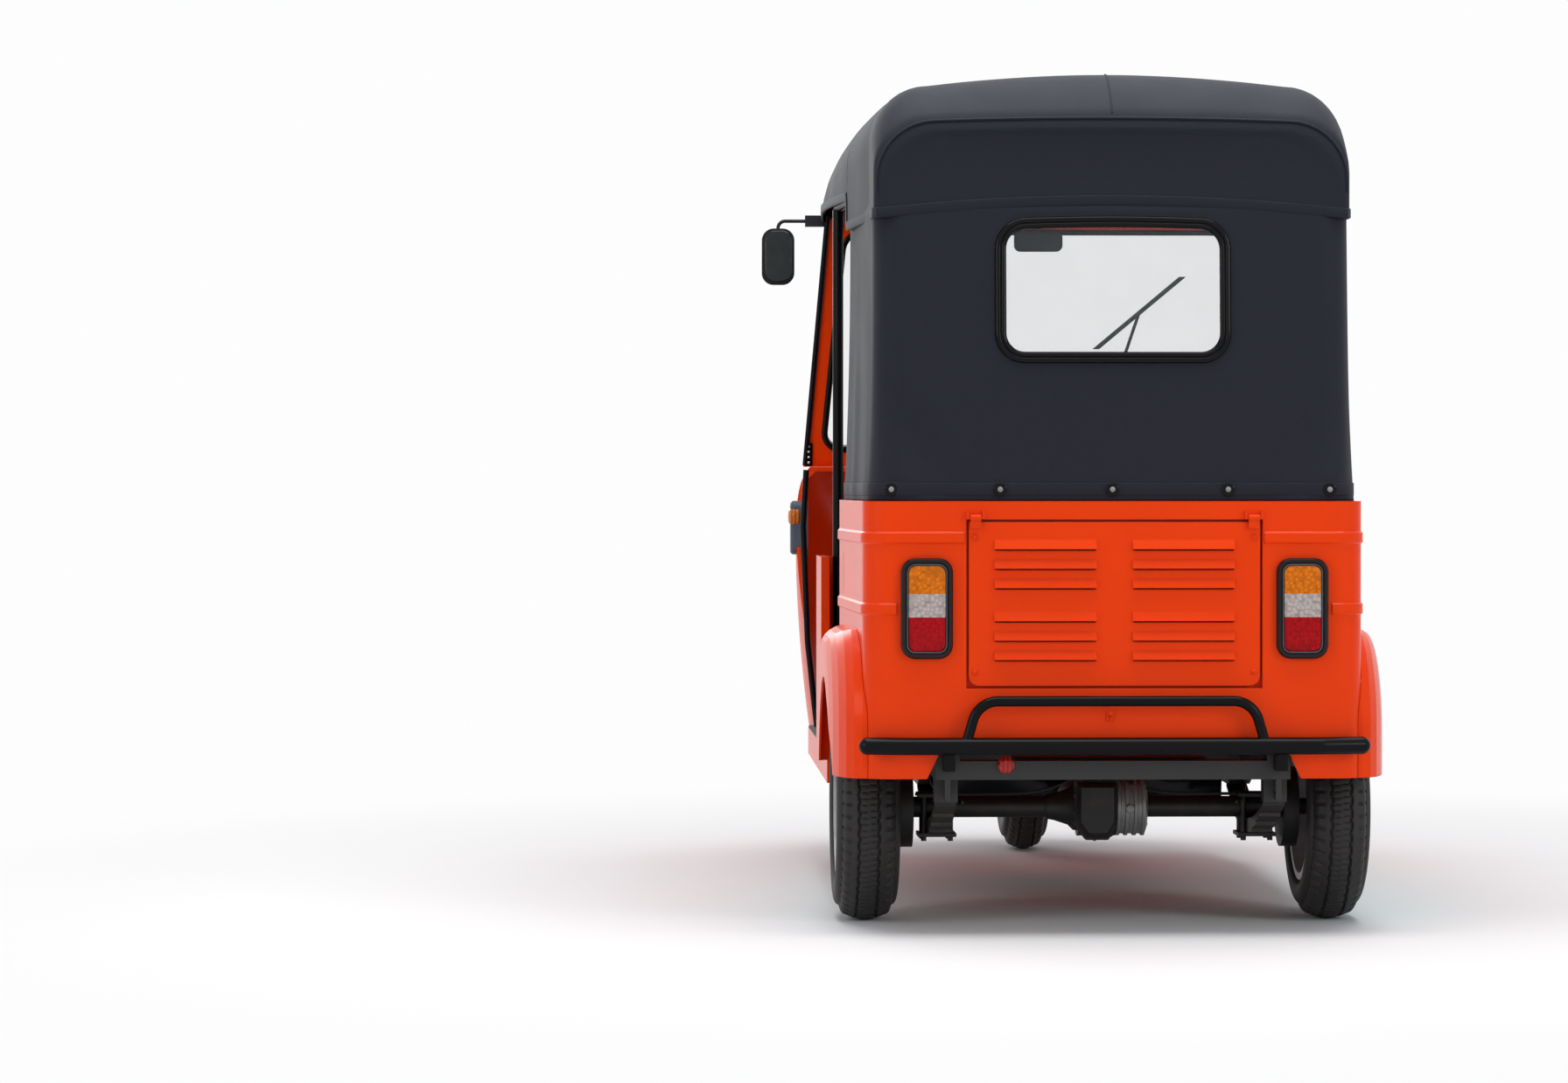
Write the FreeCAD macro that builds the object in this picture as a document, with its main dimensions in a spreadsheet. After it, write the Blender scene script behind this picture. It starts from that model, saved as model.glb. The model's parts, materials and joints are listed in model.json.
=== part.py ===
import FreeCAD, Part
import math
import os
import re

import Sketcher
from FreeCAD import Placement, Rotation, Vector

# Auto rickshaw: soft-topped three-wheeler with a louvred rear lid
# X to the vehicle's right, Y forward, Z up, origin on the floor under the middle of its length

os.makedirs("parts", exist_ok=True)

doc = FreeCAD.newDocument("AutoRickshaw")
sheet = doc.addObject("Spreadsheet::Sheet", "Sizes")
places = doc.addObject("App::VarSet", "Places")

# Driving sizes in millimetres, angles in degrees
SIZES = {
    # Layout
    "wheelbase": 2000,
    "track": 1020,
    "rear_overhang": 470,
    "face_overhang": 420,
    "seat_gap": 0.3,
    "cut_overrun": 20,
    "touch_tolerance": 0.001,
    # Wheels
    "tyre_radius": 246,
    "rear_tyre_width": 140,
    "front_tyre_width": 118,
    "rim_seat_radius": 152,
    "rim_flange_height": 15,
    "rim_wall": 5,
    "rim_bead_width": 14,
    "hub_radius": 48,
    "hub_length": 62,
    "spindle_radius": 18,
    "spindle_clearance": 0.05,
    "wheel_disc_offset": 22,
    "disc_hole_radius": 13,
    "disc_hole_circle": 105,
    # Rear body
    "body_half_width": 532,
    "body_front_half_width": 552,
    "body_wall": 12,
    "body_front_reach": 300,
    "hem_height": 921,
    "body_bottom_height": 391,
    "skirt_bottom_height": 333,
    "skirt_half_gap": 369,
    "skirt_taper": 28,
    "deck_height": 572,
    "deck_thickness": 12,
    "body_corner_radius": 60,
    "wheel_arch_radius": 288,
    "body_rib_depth": 4,
    "body_rib_width": 35,
    "upper_rib_drop": 95,
    "lower_rib_drop": 246,
    "side_slot_reach": 170,
    "side_slot_width": 9,
    "side_slot_height": 90,
    "side_slot_drop": 205,
    "rib_end_gap": 9,
    # Fenders
    "fender_half_width": 600,
    "fender_wall": 5,
    "fender_top_height": 646,
    "fender_rear_reach": 395,
    "fender_rear_shoulder": 200,
    "fender_front_shoulder": 150,
    "fender_crown_drop": 46,
    "fender_rear_taper": 230,
    "fender_front_taper": 20,
    # Lid
    "lid_width": 618,
    "lid_height": 347,
    "lid_top_drop": 44,
    "lid_clearance": 5,
    "lid_thickness": 14,
    "lid_skin": 3,
    "lid_corner_radius": 22,
    "lid_stop_overlap": 10,
    "lid_stop_wall": 3,
    "hinge_pin_radius": 3,
    "hinge_clearance": 0.05,
    "hinge_barrel_radius": 7,
    "hinge_barrel_length": 24,
    "hinge_lift": 9,
    "hinge_stand_off": 8,
    "hinge_spacing": 590,
    "hinge_lug_width": 8,
    "louvre_length": 218,
    "louvre_height": 24,
    "louvre_depth": 11,
    "louvre_skin": 2.5,
    "louvre_pitch": 41,
    "louvre_group_gap": 70,
    "louvre_column_gap": 75,
    "louvre_top_margin": 34,
    # Tail lamps
    "lamp_width": 110,
    "lamp_height": 213,
    "lamp_drop": 227,
    "lamp_centre": 398,
    "lamp_bezel_depth": 16,
    "lamp_bezel_rim": 11,
    "lamp_lens_depth": 30,
    "lamp_corner_radius": 16,
    # Rear bumper
    "bumper_height": 404,
    "bumper_radius": 18.5,
    "bumper_half_length": 524,
    "bumper_end_sweep": 18,
    "bumper_end_length": 90,
    "bumper_stay_width": 24,
    "bumper_stay_drop": 40,
    "hoop_radius": 11,
    "hoop_height": 499,
    "hoop_half_width": 318,
    "hoop_bend_radius": 55,
    # Floor and side sills
    "floor_half_width": 580,
    "floor_top_height": 346,
    "floor_thickness": 12,
    "sill_height": 66,
    "sill_width": 14,
    "floor_front_reach": 1690,
    "floor_toe_half_width": 512,
    # Chassis
    "rail_spacing": 704,
    "rail_width": 50,
    "rail_height": 56,
    "rail_rear_height": 330,
    "rail_kick_start": 120,
    "rail_kick_length": 160,
    "rail_rear_reach": 400,
    "cross_member_height": 40,
    "cross_member_length": 60,
    "neck_width": 110,
    "neck_height": 90,
    "head_tube_radius": 30,
    "head_tube_low": 330,
    "head_tube_high": 560,
    # Steering
    "rake_angle": 28,
    "steer_offset": 100,
    "fork_leg_radius": 17,
    "fork_leg_spacing": 176,
    "crown_distance": 250,
    "link_height": 48,
    "link_thickness": 14,
    "crown_height": 34,
    "crown_depth": 60,
    "stem_radius": 17,
    "stem_clearance": 0.5,
    "stem_top_distance": 790,
    "handlebar_radius": 11,
    "handlebar_half_width": 300,
    "handlebar_sweep": 110,
    "handlebar_rise": 45,
    "handlebar_clamp_half_width": 60,
    "grip_length": 120,
    "grip_radius": 17,
    "mudguard_gap": 25,
    "mudguard_wall": 4,
    "mudguard_edge_depth": 26,
    # Side panels and partition
    "side_panel_middle": 800,
    "side_panel_length": 300,
    "side_panel_height": 786,
    "side_panel_thickness": 20,
    "partition_thickness": 14,
    # Canopy frame
    "post_radius": 12.5,
    "post_half_width": 535,
    "rear_post_half_width": 460,
    "rear_post_reach": -310,
    "front_rail_half_width": 500,
    "front_rail_reach": 1500,
    "roof_rail_rise": 72,
    "bow_drop": 82,
    "front_bow_drop": 55,
    "bow_lean": 14,
    "bow_bend_radius": 105,
    # Canopy
    "curtain_height": 619,
    "canopy_front_half_width": 537,
    "canopy_middle_half_width": 558,
    "canopy_rear_half_width": 508,
    "canopy_rise": 302,
    "canopy_middle_fall": 5,
    "canopy_front_fall": 75,
    "canopy_crown_rise": 28,
    "canopy_shoulder_radius": 125,
    "canopy_middle_shoulder_radius": 175,
    "canopy_slope_length": 180,
    "canopy_rear_fall": 109,
    "canopy_rear_rise": 6,
    "canopy_corner_radius": 22,
    "canopy_rear_reach": 372,
    "canopy_front_reach": 1610,
    "front_opening_rise": 107,
    "front_edge_rise": 100,
    "side_edge_rise": 60,
    "canopy_wall": 5,
    "curtain_hem_reach": 408,
    "curtain_hem_half_width": 522,
    "curtain_hem_front_half_width": 545,
    "curtain_top_front_half_width": 534,
    "curtain_side_reach": 200,
    "curtain_corner_radius": 45,
    "curtain_wall": 4,
    "window_width": 455,
    "window_height": 260,
    "window_rise": 316,
    "window_corner_radius": 40,
    "window_thickness": 2,
    "gasket_border": 24,
    "gasket_thickness": 9,
    # Front cowl
    "cowl_half_width": 598,
    "cowl_low_half_width": 559,
    "cowl_waist_half_width": 587,
    "cowl_top_half_width": 590,
    "cowl_bottom_height": 303,
    "cowl_waist_height": 560,
    "cowl_wide_height": 850,
    "cowl_top_height": 1000,
    "cowl_rear_reach": 1500,
    "cowl_low_nose_reach": 2140,
    "cowl_nose_reach": 2200,
    "cowl_shoulder_nose_reach": 2110,
    "cowl_top_nose_reach": 1830,
    "cowl_wall": 12,
    "cowl_shoulder_width_share": 0.78,
    "cowl_shoulder_length_share": 0.72,
    "cowl_flank_width_share": 0.97,
    "cowl_flank_length_share": 0.42,
    "wheel_opening_half_width": 300,
    "wheel_opening_height": 585,
    "wheel_opening_corner": 110,
    "door_cut_low_height": 560,
    "door_lead": 30,
    # Windscreen
    "screen_base_reach": 1672,
    "screen_rake_angle": 12,
    "screen_head_gap": 13,
    "screen_base_half_width": 586,
    "screen_top_half_width": 533,
    "screen_frame_width": 44,
    "screen_frame_thickness": 28,
    "screen_glass_thickness": 5,
    "screen_corner_radius": 40,
    # Dashboard
    "dash_half_width": 300,
    "dash_height": 120,
    "dash_depth": 38,
    # Lamps on the cowl
    "headlamp_spacing": 560,
    "headlamp_height": 700,
    "headlamp_radius": 78,
    "headlamp_depth": 95,
    "headlamp_reach": 2140,
    "indicator_height": 846,
    "indicator_tall": 136,
    "indicator_length": 60,
    "indicator_reach": 1600,
    "indicator_half_spread": 622,
    "indicator_depth": 44,
    "indicator_corner_radius": 20,
    "indicator_edge_radius": 8,
    # Mirrors
    "mirror_centre": 654,
    "mirror_drop": 90,
    "mirror_width": 82,
    "mirror_head_height": 142,
    "mirror_depth": 24,
    "mirror_corner_radius": 30,
    "mirror_reach": 1562,
    "mirror_arm_radius": 4.5,
    "mirror_arm_drop": 14,
    "mirror_arm_bend": 18,
    "mirror_clamp_width": 26,
    "mirror_clamp_height": 28,
    "inner_mirror_width": 122,
    "inner_mirror_tall": 51,
    "inner_mirror_drop": 53,
    "inner_mirror_reach": 1508,
    "inner_mirror_depth": 14,
    "inner_mirror_corner": 16,
    "inner_mirror_stalk": 10,
    # Wiper and latch plates, in the windscreen's own plane
    "wiper_pivot_offset": 150,
    "wiper_pivot_share": 0.034,
    "wiper_joint_offset": 266,
    "wiper_joint_share": 0.607,
    "wiper_blade_low_offset": 158,
    "wiper_blade_low_share": 0.463,
    "wiper_blade_high_offset": 374,
    "wiper_blade_high_share": 0.75,
    "wiper_bar": 8,
    "wiper_depth": 7,
    "latch_plate_width": 20,
    "latch_plate_height": 62,
    "latch_plate_depth": 4,
    "latch_plate_inset": 3,
    # Driver's place
    "driver_base_rear_reach": 815,
    "driver_base_length": 370,
    "driver_base_half_width": 235,
    "driver_base_height": 680,
    "driver_base_wall": 10,
    "driver_cushion_thickness": 90,
    "driver_back_height": 300,
    "driver_back_thickness": 60,
    # Passengers' place
    "bench_half_width": 500,
    "bench_front_reach": 290,
    "bench_rear_reach": -150,
    "bench_base_height": 650,
    "bench_wall": 12,
    "bench_cushion_thickness": 115,
    "bench_back_height": 430,
    "bench_back_thickness": 110,
    # Axle and driveline
    "axle_tube_radius": 23,
    "differential_radius": 64,
    "differential_length": 90,
    "differential_half_width": 42,
    "casting_radius": 57,
    "casting_length": 63,
    "drum_radius": 88,
    "drum_width": 34,
    "spring_half_length": 320,
    "spring_leaf_thickness": 8,
    "spring_leaf_count": 4,
    "spring_width": 46,
    "spring_plate_length": 92,
    "spring_plate_width": 84,
    "spring_plate_thickness": 8,
    "spring_hanger_length": 44,
    "u_bolt_radius": 6,
    "u_bolt_tail": 9,
    "propshaft_radius": 22,
    "engine_length": 330,
    "engine_width": 340,
    "engine_top_height": 640,
    "engine_bottom_height": 206,
    "engine_clearance": 12,
    "service_box_width": 406,
    "service_box_height": 45,
    "service_box_length": 120,
    # Fastening places
    "tow_eye_radius": 10,
    "tow_eye_plate": 44,
    "tow_eye_thickness": 12,
}

# Places worked out from the sizes
PLACES = {
    "mudguard_radius": "tyre_radius + mudguard_gap + mudguard_wall",
    "overall_length": "rear_overhang + wheelbase + mudguard_radius",
    "rear_axle": "rear_overhang - overall_length / 2",
    "front_axle": "rear_axle + wheelbase",
    "rear_face": "rear_axle - face_overhang",
    "body_front": "rear_axle + body_front_reach",
    "half_track": "track / 2",
    "lid_top_height": "hem_height - lid_top_drop",
    "lid_bottom_height": "lid_top_height - lid_height",
    "lamp_middle_height": "hem_height - lamp_drop",
    "upper_rib_height": "hem_height - upper_rib_drop",
    "lower_rib_height": "hem_height - lower_rib_drop",
    "hinge_height": "lid_top_height + hinge_lift",
    "hinge_line": "rear_face - hinge_stand_off",
    "bumper_line": "rear_axle - rear_overhang + bumper_radius",
    "floor_front": "rear_axle + floor_front_reach",
    "cowl_rear": "rear_axle + cowl_rear_reach",
    "screen_base": "rear_axle + screen_base_reach",
    "canopy_edge_height": "hem_height + curtain_height",
    "canopy_height": "canopy_edge_height + canopy_rise",
    "canopy_front_opening_height": "canopy_edge_height + front_opening_rise",
    "canopy_front_edge_height": "canopy_edge_height + front_edge_rise",
    "canopy_side_edge_height": "canopy_edge_height + side_edge_rise",
    "roof_rail_height": "canopy_edge_height + roof_rail_rise",
    "window_bottom_height": "hem_height + window_rise",
    "canopy_rear": "rear_axle - canopy_rear_reach",
    "canopy_front": "rear_axle + canopy_front_reach",
    "curtain_hem_line": "rear_axle - curtain_hem_reach",
    "curtain_side": "rear_axle + curtain_side_reach",
    "curtain_tilt": "atan((curtain_hem_reach - canopy_rear_reach) / (canopy_edge_height - hem_height))",
    "arc_share": "1 - sqrt(0.5)",
    "mudguard_width": "fork_leg_spacing - 2 * fork_leg_radius - 2 * seat_gap",
    "screen_base_height": "cowl_top_height + seat_gap",
    "screen_top_height": "canopy_front_opening_height - screen_head_gap",
    "screen_length": "(screen_top_height - screen_base_height) / cos(screen_rake_angle)",
    "mirror_arm_height": "screen_top_height - mirror_arm_drop",
    "mirror_height": "mirror_arm_height - mirror_drop",
    "inner_mirror_height": "mirror_arm_height - inner_mirror_drop",
    "rail_rear": "rear_axle - rail_rear_reach",
    "rail_low": "floor_top_height - floor_thickness - rail_height - seat_gap",
    "spring_seat": "tyre_radius - axle_tube_radius - seat_gap",
    "spring_camber": "rail_low - seat_gap - spring_seat",
    "driver_base_rear": "rear_axle + driver_base_rear_reach",
    "engine_rear": "driver_base_rear + driver_base_wall + seat_gap",
    "side_panel_rear": "rear_axle + side_panel_middle - side_panel_length / 2",
    "post_line": "driver_base_rear - partition_thickness - post_radius - 3 * seat_gap",
}


def spelled(rule):
    """Write a rule of plain size names as an expression on the sheet and the worked-out places."""
    def full(match):
        word = match.group(0)
        if word in SIZES:
            return "Sizes." + word
        if word in PLACES:
            return "Places." + word
        return word
    return re.sub(r"[a-z][a-z0-9_]*", full, rule)


def number(rule):
    """Give the present value of a rule."""
    return float(places.evalExpression(spelled(rule)))


def bind(thing, prop, rule):
    """Tie one property of an object to a rule."""
    thing.setExpression(prop, spelled(rule))


def fill_sheet():
    """Put the driving sizes into the spreadsheet and the worked-out places beside them."""
    for row, (alias, value) in enumerate(SIZES.items(), start=1):
        sheet.set(f"A{row}", alias)
        sheet.set(f"B{row}", str(value))
        sheet.setAlias(f"B{row}", alias)
    doc.recompute()
    for name, rule in PLACES.items():
        places.addProperty("App::PropertyFloat", name)
        bind(places, name, rule)
        doc.recompute()


fill_sheet()

nodes = []
PLANE_ROLES = {"XY": "XY_Plane", "XZ": "XZ_Plane", "YZ": "YZ_Plane"}
PLANE_SIGNS = {"XY": "", "XZ": "-", "YZ": ""}
AXIS_TURNS = {
    "x": Rotation(Vector(0, 1, 0), 90),
    "y": Rotation(Vector(1, 0, 0), -90),
    "z": Rotation(),
}


def keep(thing, label):
    """Name an object as one sub-part of the vehicle."""
    thing.Label = label
    nodes.append(thing)
    return thing


def new_body(name):
    return doc.addObject("PartDesign::Body", name)


def new_sketch(body, plane, level="0"):
    """Add a sketch on one of the body's own origin planes, moved along the plane's axis to a level."""
    sketch = body.newObject("Sketcher::SketchObject", "Sketch")
    face = next(item for item in body.Origin.OriginFeatures if item.Role == PLANE_ROLES[plane])
    sketch.AttachmentSupport = [(face, "")]
    sketch.MapMode = "FlatFace"
    bind(sketch, "AttachmentOffset.Base.z", f"{PLANE_SIGNS[plane]}({level})")
    return sketch


def fix_point(sketch, edge, end, point):
    """Hold one point of a sketch at a place given by two rules."""
    for kind, rule in zip(("DistanceX", "DistanceY"), point):
        row = sketch.addConstraint(Sketcher.Constraint(kind, -1, 1, edge, end, number(rule)))
        bind(sketch, f"Constraints[{row}]", rule)


def spot(point):
    return Vector(number(point[0]), number(point[1]), 0)


def draw_loop(sketch, *steps):
    """Draw a closed loop: a step is a point to go straight to, or a mid point and an end point of an arc."""
    ends = [step if isinstance(step[0], str) else step[1] for step in steps]
    starts = [ends[-1]] + ends[:-1]
    edges = []
    for start, end, step in zip(starts, ends, steps):
        if isinstance(step[0], str):
            line = Part.LineSegment(spot(start), spot(end))
            edges.append((sketch.addGeometry(line), 1, 2))
            continue
        arc = Part.Arc(spot(start), spot(step[0]), spot(end))
        edge = sketch.addGeometry(arc)
        first = sketch.getPoint(edge, 1)
        forward = first.distanceToPoint(spot(start)) < first.distanceToPoint(spot(end))
        edges.append((edge, 1, 2) if forward else (edge, 2, 1))
        middle = sketch.addGeometry(Part.Point(spot(step[0])), True)
        fix_point(sketch, middle, 1, step[0])
        sketch.addConstraint(Sketcher.Constraint("PointOnObject", middle, 1, edge))
    for index, (edge, first, last) in enumerate(edges):
        following = edges[(index + 1) % len(edges)]
        sketch.addConstraint(Sketcher.Constraint("Coincident", edge, last, following[0], following[1]))
        fix_point(sketch, edge, last, ends[index])
    return sketch


def draw_circle(sketch, centre, radius):
    """Draw a circle held at its centre and by its radius."""
    edge = sketch.addGeometry(Part.Circle(spot(centre), Vector(0, 0, 1), number(radius)))
    fix_point(sketch, edge, 3, centre)
    row = sketch.addConstraint(Sketcher.Constraint("Radius", edge, number(radius)))
    bind(sketch, f"Constraints[{row}]", radius)
    return sketch


def rectangle(low, high):
    """Give the four corners of an upright rectangle."""
    return [(low[0], low[1]), (high[0], low[1]), (high[0], high[1]), (low[0], high[1])]


def rounded(low, high, radius):
    """Give the steps of an upright rectangle with round corners."""
    (left, base), (right, top) = low, high
    near = f"({radius}) * arc_share"
    return [
        (f"{right} - ({radius})", base),
        ((f"{right} - {near}", f"{base} + {near}"), (right, f"{base} + ({radius})")),
        (right, f"{top} - ({radius})"),
        ((f"{right} - {near}", f"{top} - {near}"), (f"{right} - ({radius})", top)),
        (f"{left} + ({radius})", top),
        ((f"{left} + {near}", f"{top} - {near}"), (left, f"{top} - ({radius})")),
        (left, f"{base} + ({radius})"),
        ((f"{left} + {near}", f"{base} + {near}"), (f"{left} + ({radius})", base)),
    ]


def pad(body, sketch, length):
    """Pad a sketch along its normal."""
    feature = body.newObject("PartDesign::Pad", "Pad")
    feature.Profile = sketch
    bind(feature, "Length", length)
    doc.recompute()
    return feature


def pocket(body, sketch, length):
    """Cut a sketch out of the body against the sketch's normal and check that it cut."""
    before = body.Shape.Volume
    feature = body.newObject("PartDesign::Pocket", "Pocket")
    feature.Profile = sketch
    bind(feature, "Length", length)
    doc.recompute()
    if not body.Shape.Volume < before:
        raise RuntimeError(f"a pocket of {body.Name} cuts nothing")
    return feature


def pad_between(body, plane, low, high, *steps):
    """Pad a loop from one level of a plane's axis to another."""
    start = high if plane == "XZ" else low
    return pad(body, draw_loop(new_sketch(body, plane, start), *steps), f"({high}) - ({low})")


def cut_between(body, plane, low, high, *steps):
    """Cut a loop from one level of a plane's axis to another."""
    start = low if plane == "XZ" else high
    return pocket(body, draw_loop(new_sketch(body, plane, start), *steps), f"({high}) - ({low})")


def round_edges(body, radius, chosen):
    """Fillet the body's straight or curved edges whose middle passes a test."""
    base = body.Tip
    names = []
    for index, edge in enumerate(base.Shape.Edges, start=1):
        middle = edge.valueAt((edge.FirstParameter + edge.LastParameter) / 2)
        if chosen(middle, edge):
            names.append(f"Edge{index}")
    feature = body.newObject("PartDesign::Fillet", "Fillet")
    feature.Base = (base, names)
    bind(feature, "Radius", radius)
    doc.recompute()
    return feature


def along(axis):
    """Choose edges that run straight along one axis."""
    def chosen(middle, edge):
        run = edge.valueAt(edge.LastParameter) - edge.valueAt(edge.FirstParameter)
        return run.Length > 0 and run.cross(axis).Length < number("touch_tolerance")
    return chosen


def at_depth(place):
    """Choose edges whose middle lies at one place along the vehicle."""
    depth = number(place)
    return lambda middle, edge: abs(middle.y - depth) < number("touch_tolerance")


def loft(body, kind, sketches, straight=False):
    """Loft through the sketches of one body, adding or cutting, smoothly or with straight flanks."""
    feature = body.newObject(f"PartDesign::{kind}Loft", "Loft")
    feature.Ruled = straight
    feature.Profile = sketches[0]
    feature.Sections = sketches[1:]
    doc.recompute()
    return feature


def box(name, x, y, z):
    """Make a box between low and high rules on each axis."""
    block = doc.addObject("Part::Box", name)
    for prop, axis, (low, high) in zip(("Length", "Width", "Height"), "xyz", (x, y, z)):
        bind(block, prop, f"({high}) - ({low})")
        bind(block, f"Placement.Base.{axis}", low)
    return block


def rod(name, axis, radius, start, length):
    """Make a cylinder of a given length from a start point along one axis."""
    cylinder = doc.addObject("Part::Cylinder", name)
    cylinder.Placement = Placement(Vector(), AXIS_TURNS[axis])
    bind(cylinder, "Radius", radius)
    bind(cylinder, "Height", length)
    for letter, rule in zip("xyz", start):
        bind(cylinder, f"Placement.Base.{letter}", rule)
    return cylinder


def ball(name, radius, centre):
    """Make a ball about a point."""
    sphere = doc.addObject("Part::Sphere", name)
    bind(sphere, "Radius", radius)
    for letter, rule in zip("xyz", centre):
        bind(sphere, f"Placement.Base.{letter}", rule)
    return sphere


def slab(name, low, high, *corners):
    """Make an upright slab with round corners between two places along the vehicle."""
    body = new_body(name)
    pad_between(body, "XZ", low, high, *rounded(*corners))
    return body


def fuse(name, parts):
    joined = doc.addObject("Part::MultiFuse", name)
    joined.Shapes = parts
    joined.Refine = True
    return joined


def cut(name, base, tool):
    result = doc.addObject("Part::Cut", name)
    result.Base = base
    result.Tool = tool
    return result


def mirrored(name, source):
    """Mirror a sub-part across the vehicle's middle plane."""
    copy = doc.addObject("Part::Mirroring", name)
    copy.Source = source
    copy.Normal = Vector(1, 0, 0)
    return copy


def both_sides(name, make):
    """Make the right-hand piece and its mirror, joined as one sub-part of two solids."""
    right = make(name + "Right")
    return fuse(name, [right, mirrored(name + "Left", right)])


def tube_path(name, radius, points, bend):
    """Sweep a round bar along straight runs joined by tangent arcs through corner points."""
    corners = [Vector(*(number(rule) for rule in point)) for point in points]
    reach = number(bend)
    edges = []
    last = corners[0]
    for before, corner, after in zip(corners, corners[1:], corners[2:]):
        inward = (before - corner).normalize()
        outward = (after - corner).normalize()
        half_turn = (math.pi - inward.getAngle(outward)) / 2
        run = reach * math.tan(half_turn)
        first = corner + inward * run
        final = corner + outward * run
        toward = (inward + outward).normalize()
        middle = corner + toward * (reach / math.cos(half_turn) - reach)
        edges.append(Part.LineSegment(last, first).toShape())
        edges.append(Part.Arc(first, middle, final).toShape())
        last = final
    edges.append(Part.LineSegment(last, corners[-1]).toShape())
    path = Part.Wire(edges)
    heading = (corners[1] - corners[0]).normalize()
    section = Part.Wire(Part.makeCircle(number(radius), corners[0], heading))
    feature = doc.addObject("Part::Feature", name)
    feature.Shape = path.makePipeShell([section], True, True)
    return feature


# Rear body

def spreading_plan(rear, half, wide, bend, front):
    """Plan outline with a straight rear, round rear corners and sides that spread towards the front."""
    near = f"{bend} * arc_share"
    return [
        (f"{half} - {bend}", rear),
        ((f"{half} - {near}", f"{rear} + {near}"), (half, f"{rear} + {bend}")),
        (wide, front),
        (f"-{wide}", front),
        (f"-{half}", f"{rear} + {bend}"),
        ((f"-{half} + {near}", f"{rear} + {near}"), (f"-{half} + {bend}", rear)),
    ]


def rear_body_plan(inset, front):
    """Plan outline of the rear body, moved in by an inset."""
    return spreading_plan(f"(rear_face + {inset})", f"(body_half_width - {inset})",
                          f"(body_front_half_width - {inset})", f"(body_corner_radius - {inset})", front)


def build_rear_body():
    body = new_body("RearBody")
    inner = rear_body_plan("body_wall", "body_front + cut_overrun")
    pad_between(body, "XY", "skirt_bottom_height", "hem_height", *rear_body_plan("0", "body_front"))
    cut_between(body, "XY", "deck_height", "hem_height + cut_overrun", *inner)
    cut_between(body, "XY", "skirt_bottom_height - cut_overrun", "deck_height - deck_thickness", *inner)
    tail = ("rear_face - cut_overrun", "rear_face + body_wall + cut_overrun")
    cut_between(body, "XZ", *tail,
                ("-(skirt_half_gap + skirt_taper)", "skirt_bottom_height - cut_overrun"),
                ("skirt_half_gap + skirt_taper", "skirt_bottom_height - cut_overrun"),
                ("skirt_half_gap + skirt_taper", "skirt_bottom_height"),
                ("skirt_half_gap", "body_bottom_height"),
                ("-skirt_half_gap", "body_bottom_height"),
                ("-(skirt_half_gap + skirt_taper)", "skirt_bottom_height"))
    cut_between(body, "XZ", *tail, *lid_opening("lid_clearance"))
    arch = new_sketch(body, "YZ", "body_front_half_width + cut_overrun")
    draw_circle(arch, ("rear_axle", "tyre_radius"), "wheel_arch_radius")
    pocket(body, arch, "2 * (body_front_half_width + cut_overrun)")
    slot = "hem_height - side_slot_drop"
    cut_between(body, "YZ", "-(body_front_half_width + cut_overrun)", "body_front_half_width + cut_overrun",
                *rounded(("rear_axle + side_slot_reach", slot),
                         ("rear_axle + side_slot_reach + side_slot_width", f"{slot} + side_slot_height"),
                         "side_slot_width / 3"))
    riser = box("BenchRiser", ("-body_half_width", "body_half_width"),
                ("body_front - body_wall", "body_front"), ("floor_top_height + seat_gap", "deck_height"))
    pieces = [body, riser, build_lid_stop()] + build_ribs() + build_lid_hinges()
    return keep(fuse("RearBodyNode", pieces), "rear_body_shell")


def lid_opening(spare):
    """Outline of the lid, spread by a spare margin."""
    return rectangle((f"-(lid_width / 2 + {spare})", f"lid_bottom_height - {spare}"),
                     (f"lid_width / 2 + {spare}", f"lid_top_height + {spare}"))


def build_lid_stop():
    """Channel behind the lid's gap: a wall round the opening and a lip behind the lid's edge."""
    body = new_body("LidStop")
    lip = "rear_face + lid_thickness + lid_clearance"
    pad_between(body, "XZ", "rear_face + body_wall / 2", f"{lip} + lid_stop_wall",
                *lid_opening("(lid_clearance + lid_stop_wall)"))
    cut_between(body, "XZ", "rear_face", lip, *lid_opening("lid_clearance"))
    cut_between(body, "XZ", "rear_face", f"{lip} + cut_overrun", *lid_opening("(0 - lid_stop_overlap)"))
    return body


def build_ribs():
    """Raised bands round the rear corners and along the sides, left off at the lid and at the lamps."""
    ribs = []
    for base, half_gap in (("upper_rib_height", "lid_width / 2"),
                           ("lower_rib_height", "lamp_centre + lamp_width / 2")):
        body = new_body("Rib")
        levels = ((base, "body_rib_depth"),
                  (f"{base} + 2 * body_rib_depth", "(0 - body_rib_depth)"),
                  (f"{base} + body_rib_width - 2 * body_rib_depth", "(0 - body_rib_depth)"),
                  (f"{base} + body_rib_width", "body_rib_depth"))
        loft(body, "Additive", [draw_loop(new_sketch(body, "XY", level), *rear_body_plan(inset, "body_front"))
                                for level, inset in levels], True)
        cut_between(body, "XY", f"{base} - cut_overrun", f"{base} + body_rib_width + cut_overrun",
                    *rear_body_plan("2 * body_rib_depth", "body_front + cut_overrun"))
        gap = box("RibGap", (f"-({half_gap} + rib_end_gap)", f"{half_gap} + rib_end_gap"),
                  ("rear_face - cut_overrun", "rear_face + cut_overrun"),
                  (f"{base} - cut_overrun", f"{base} + body_rib_width + cut_overrun"))
        ribs.append(cut("RibEnds", body, gap))
    return ribs


FENDER_STEPS = 6


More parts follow.
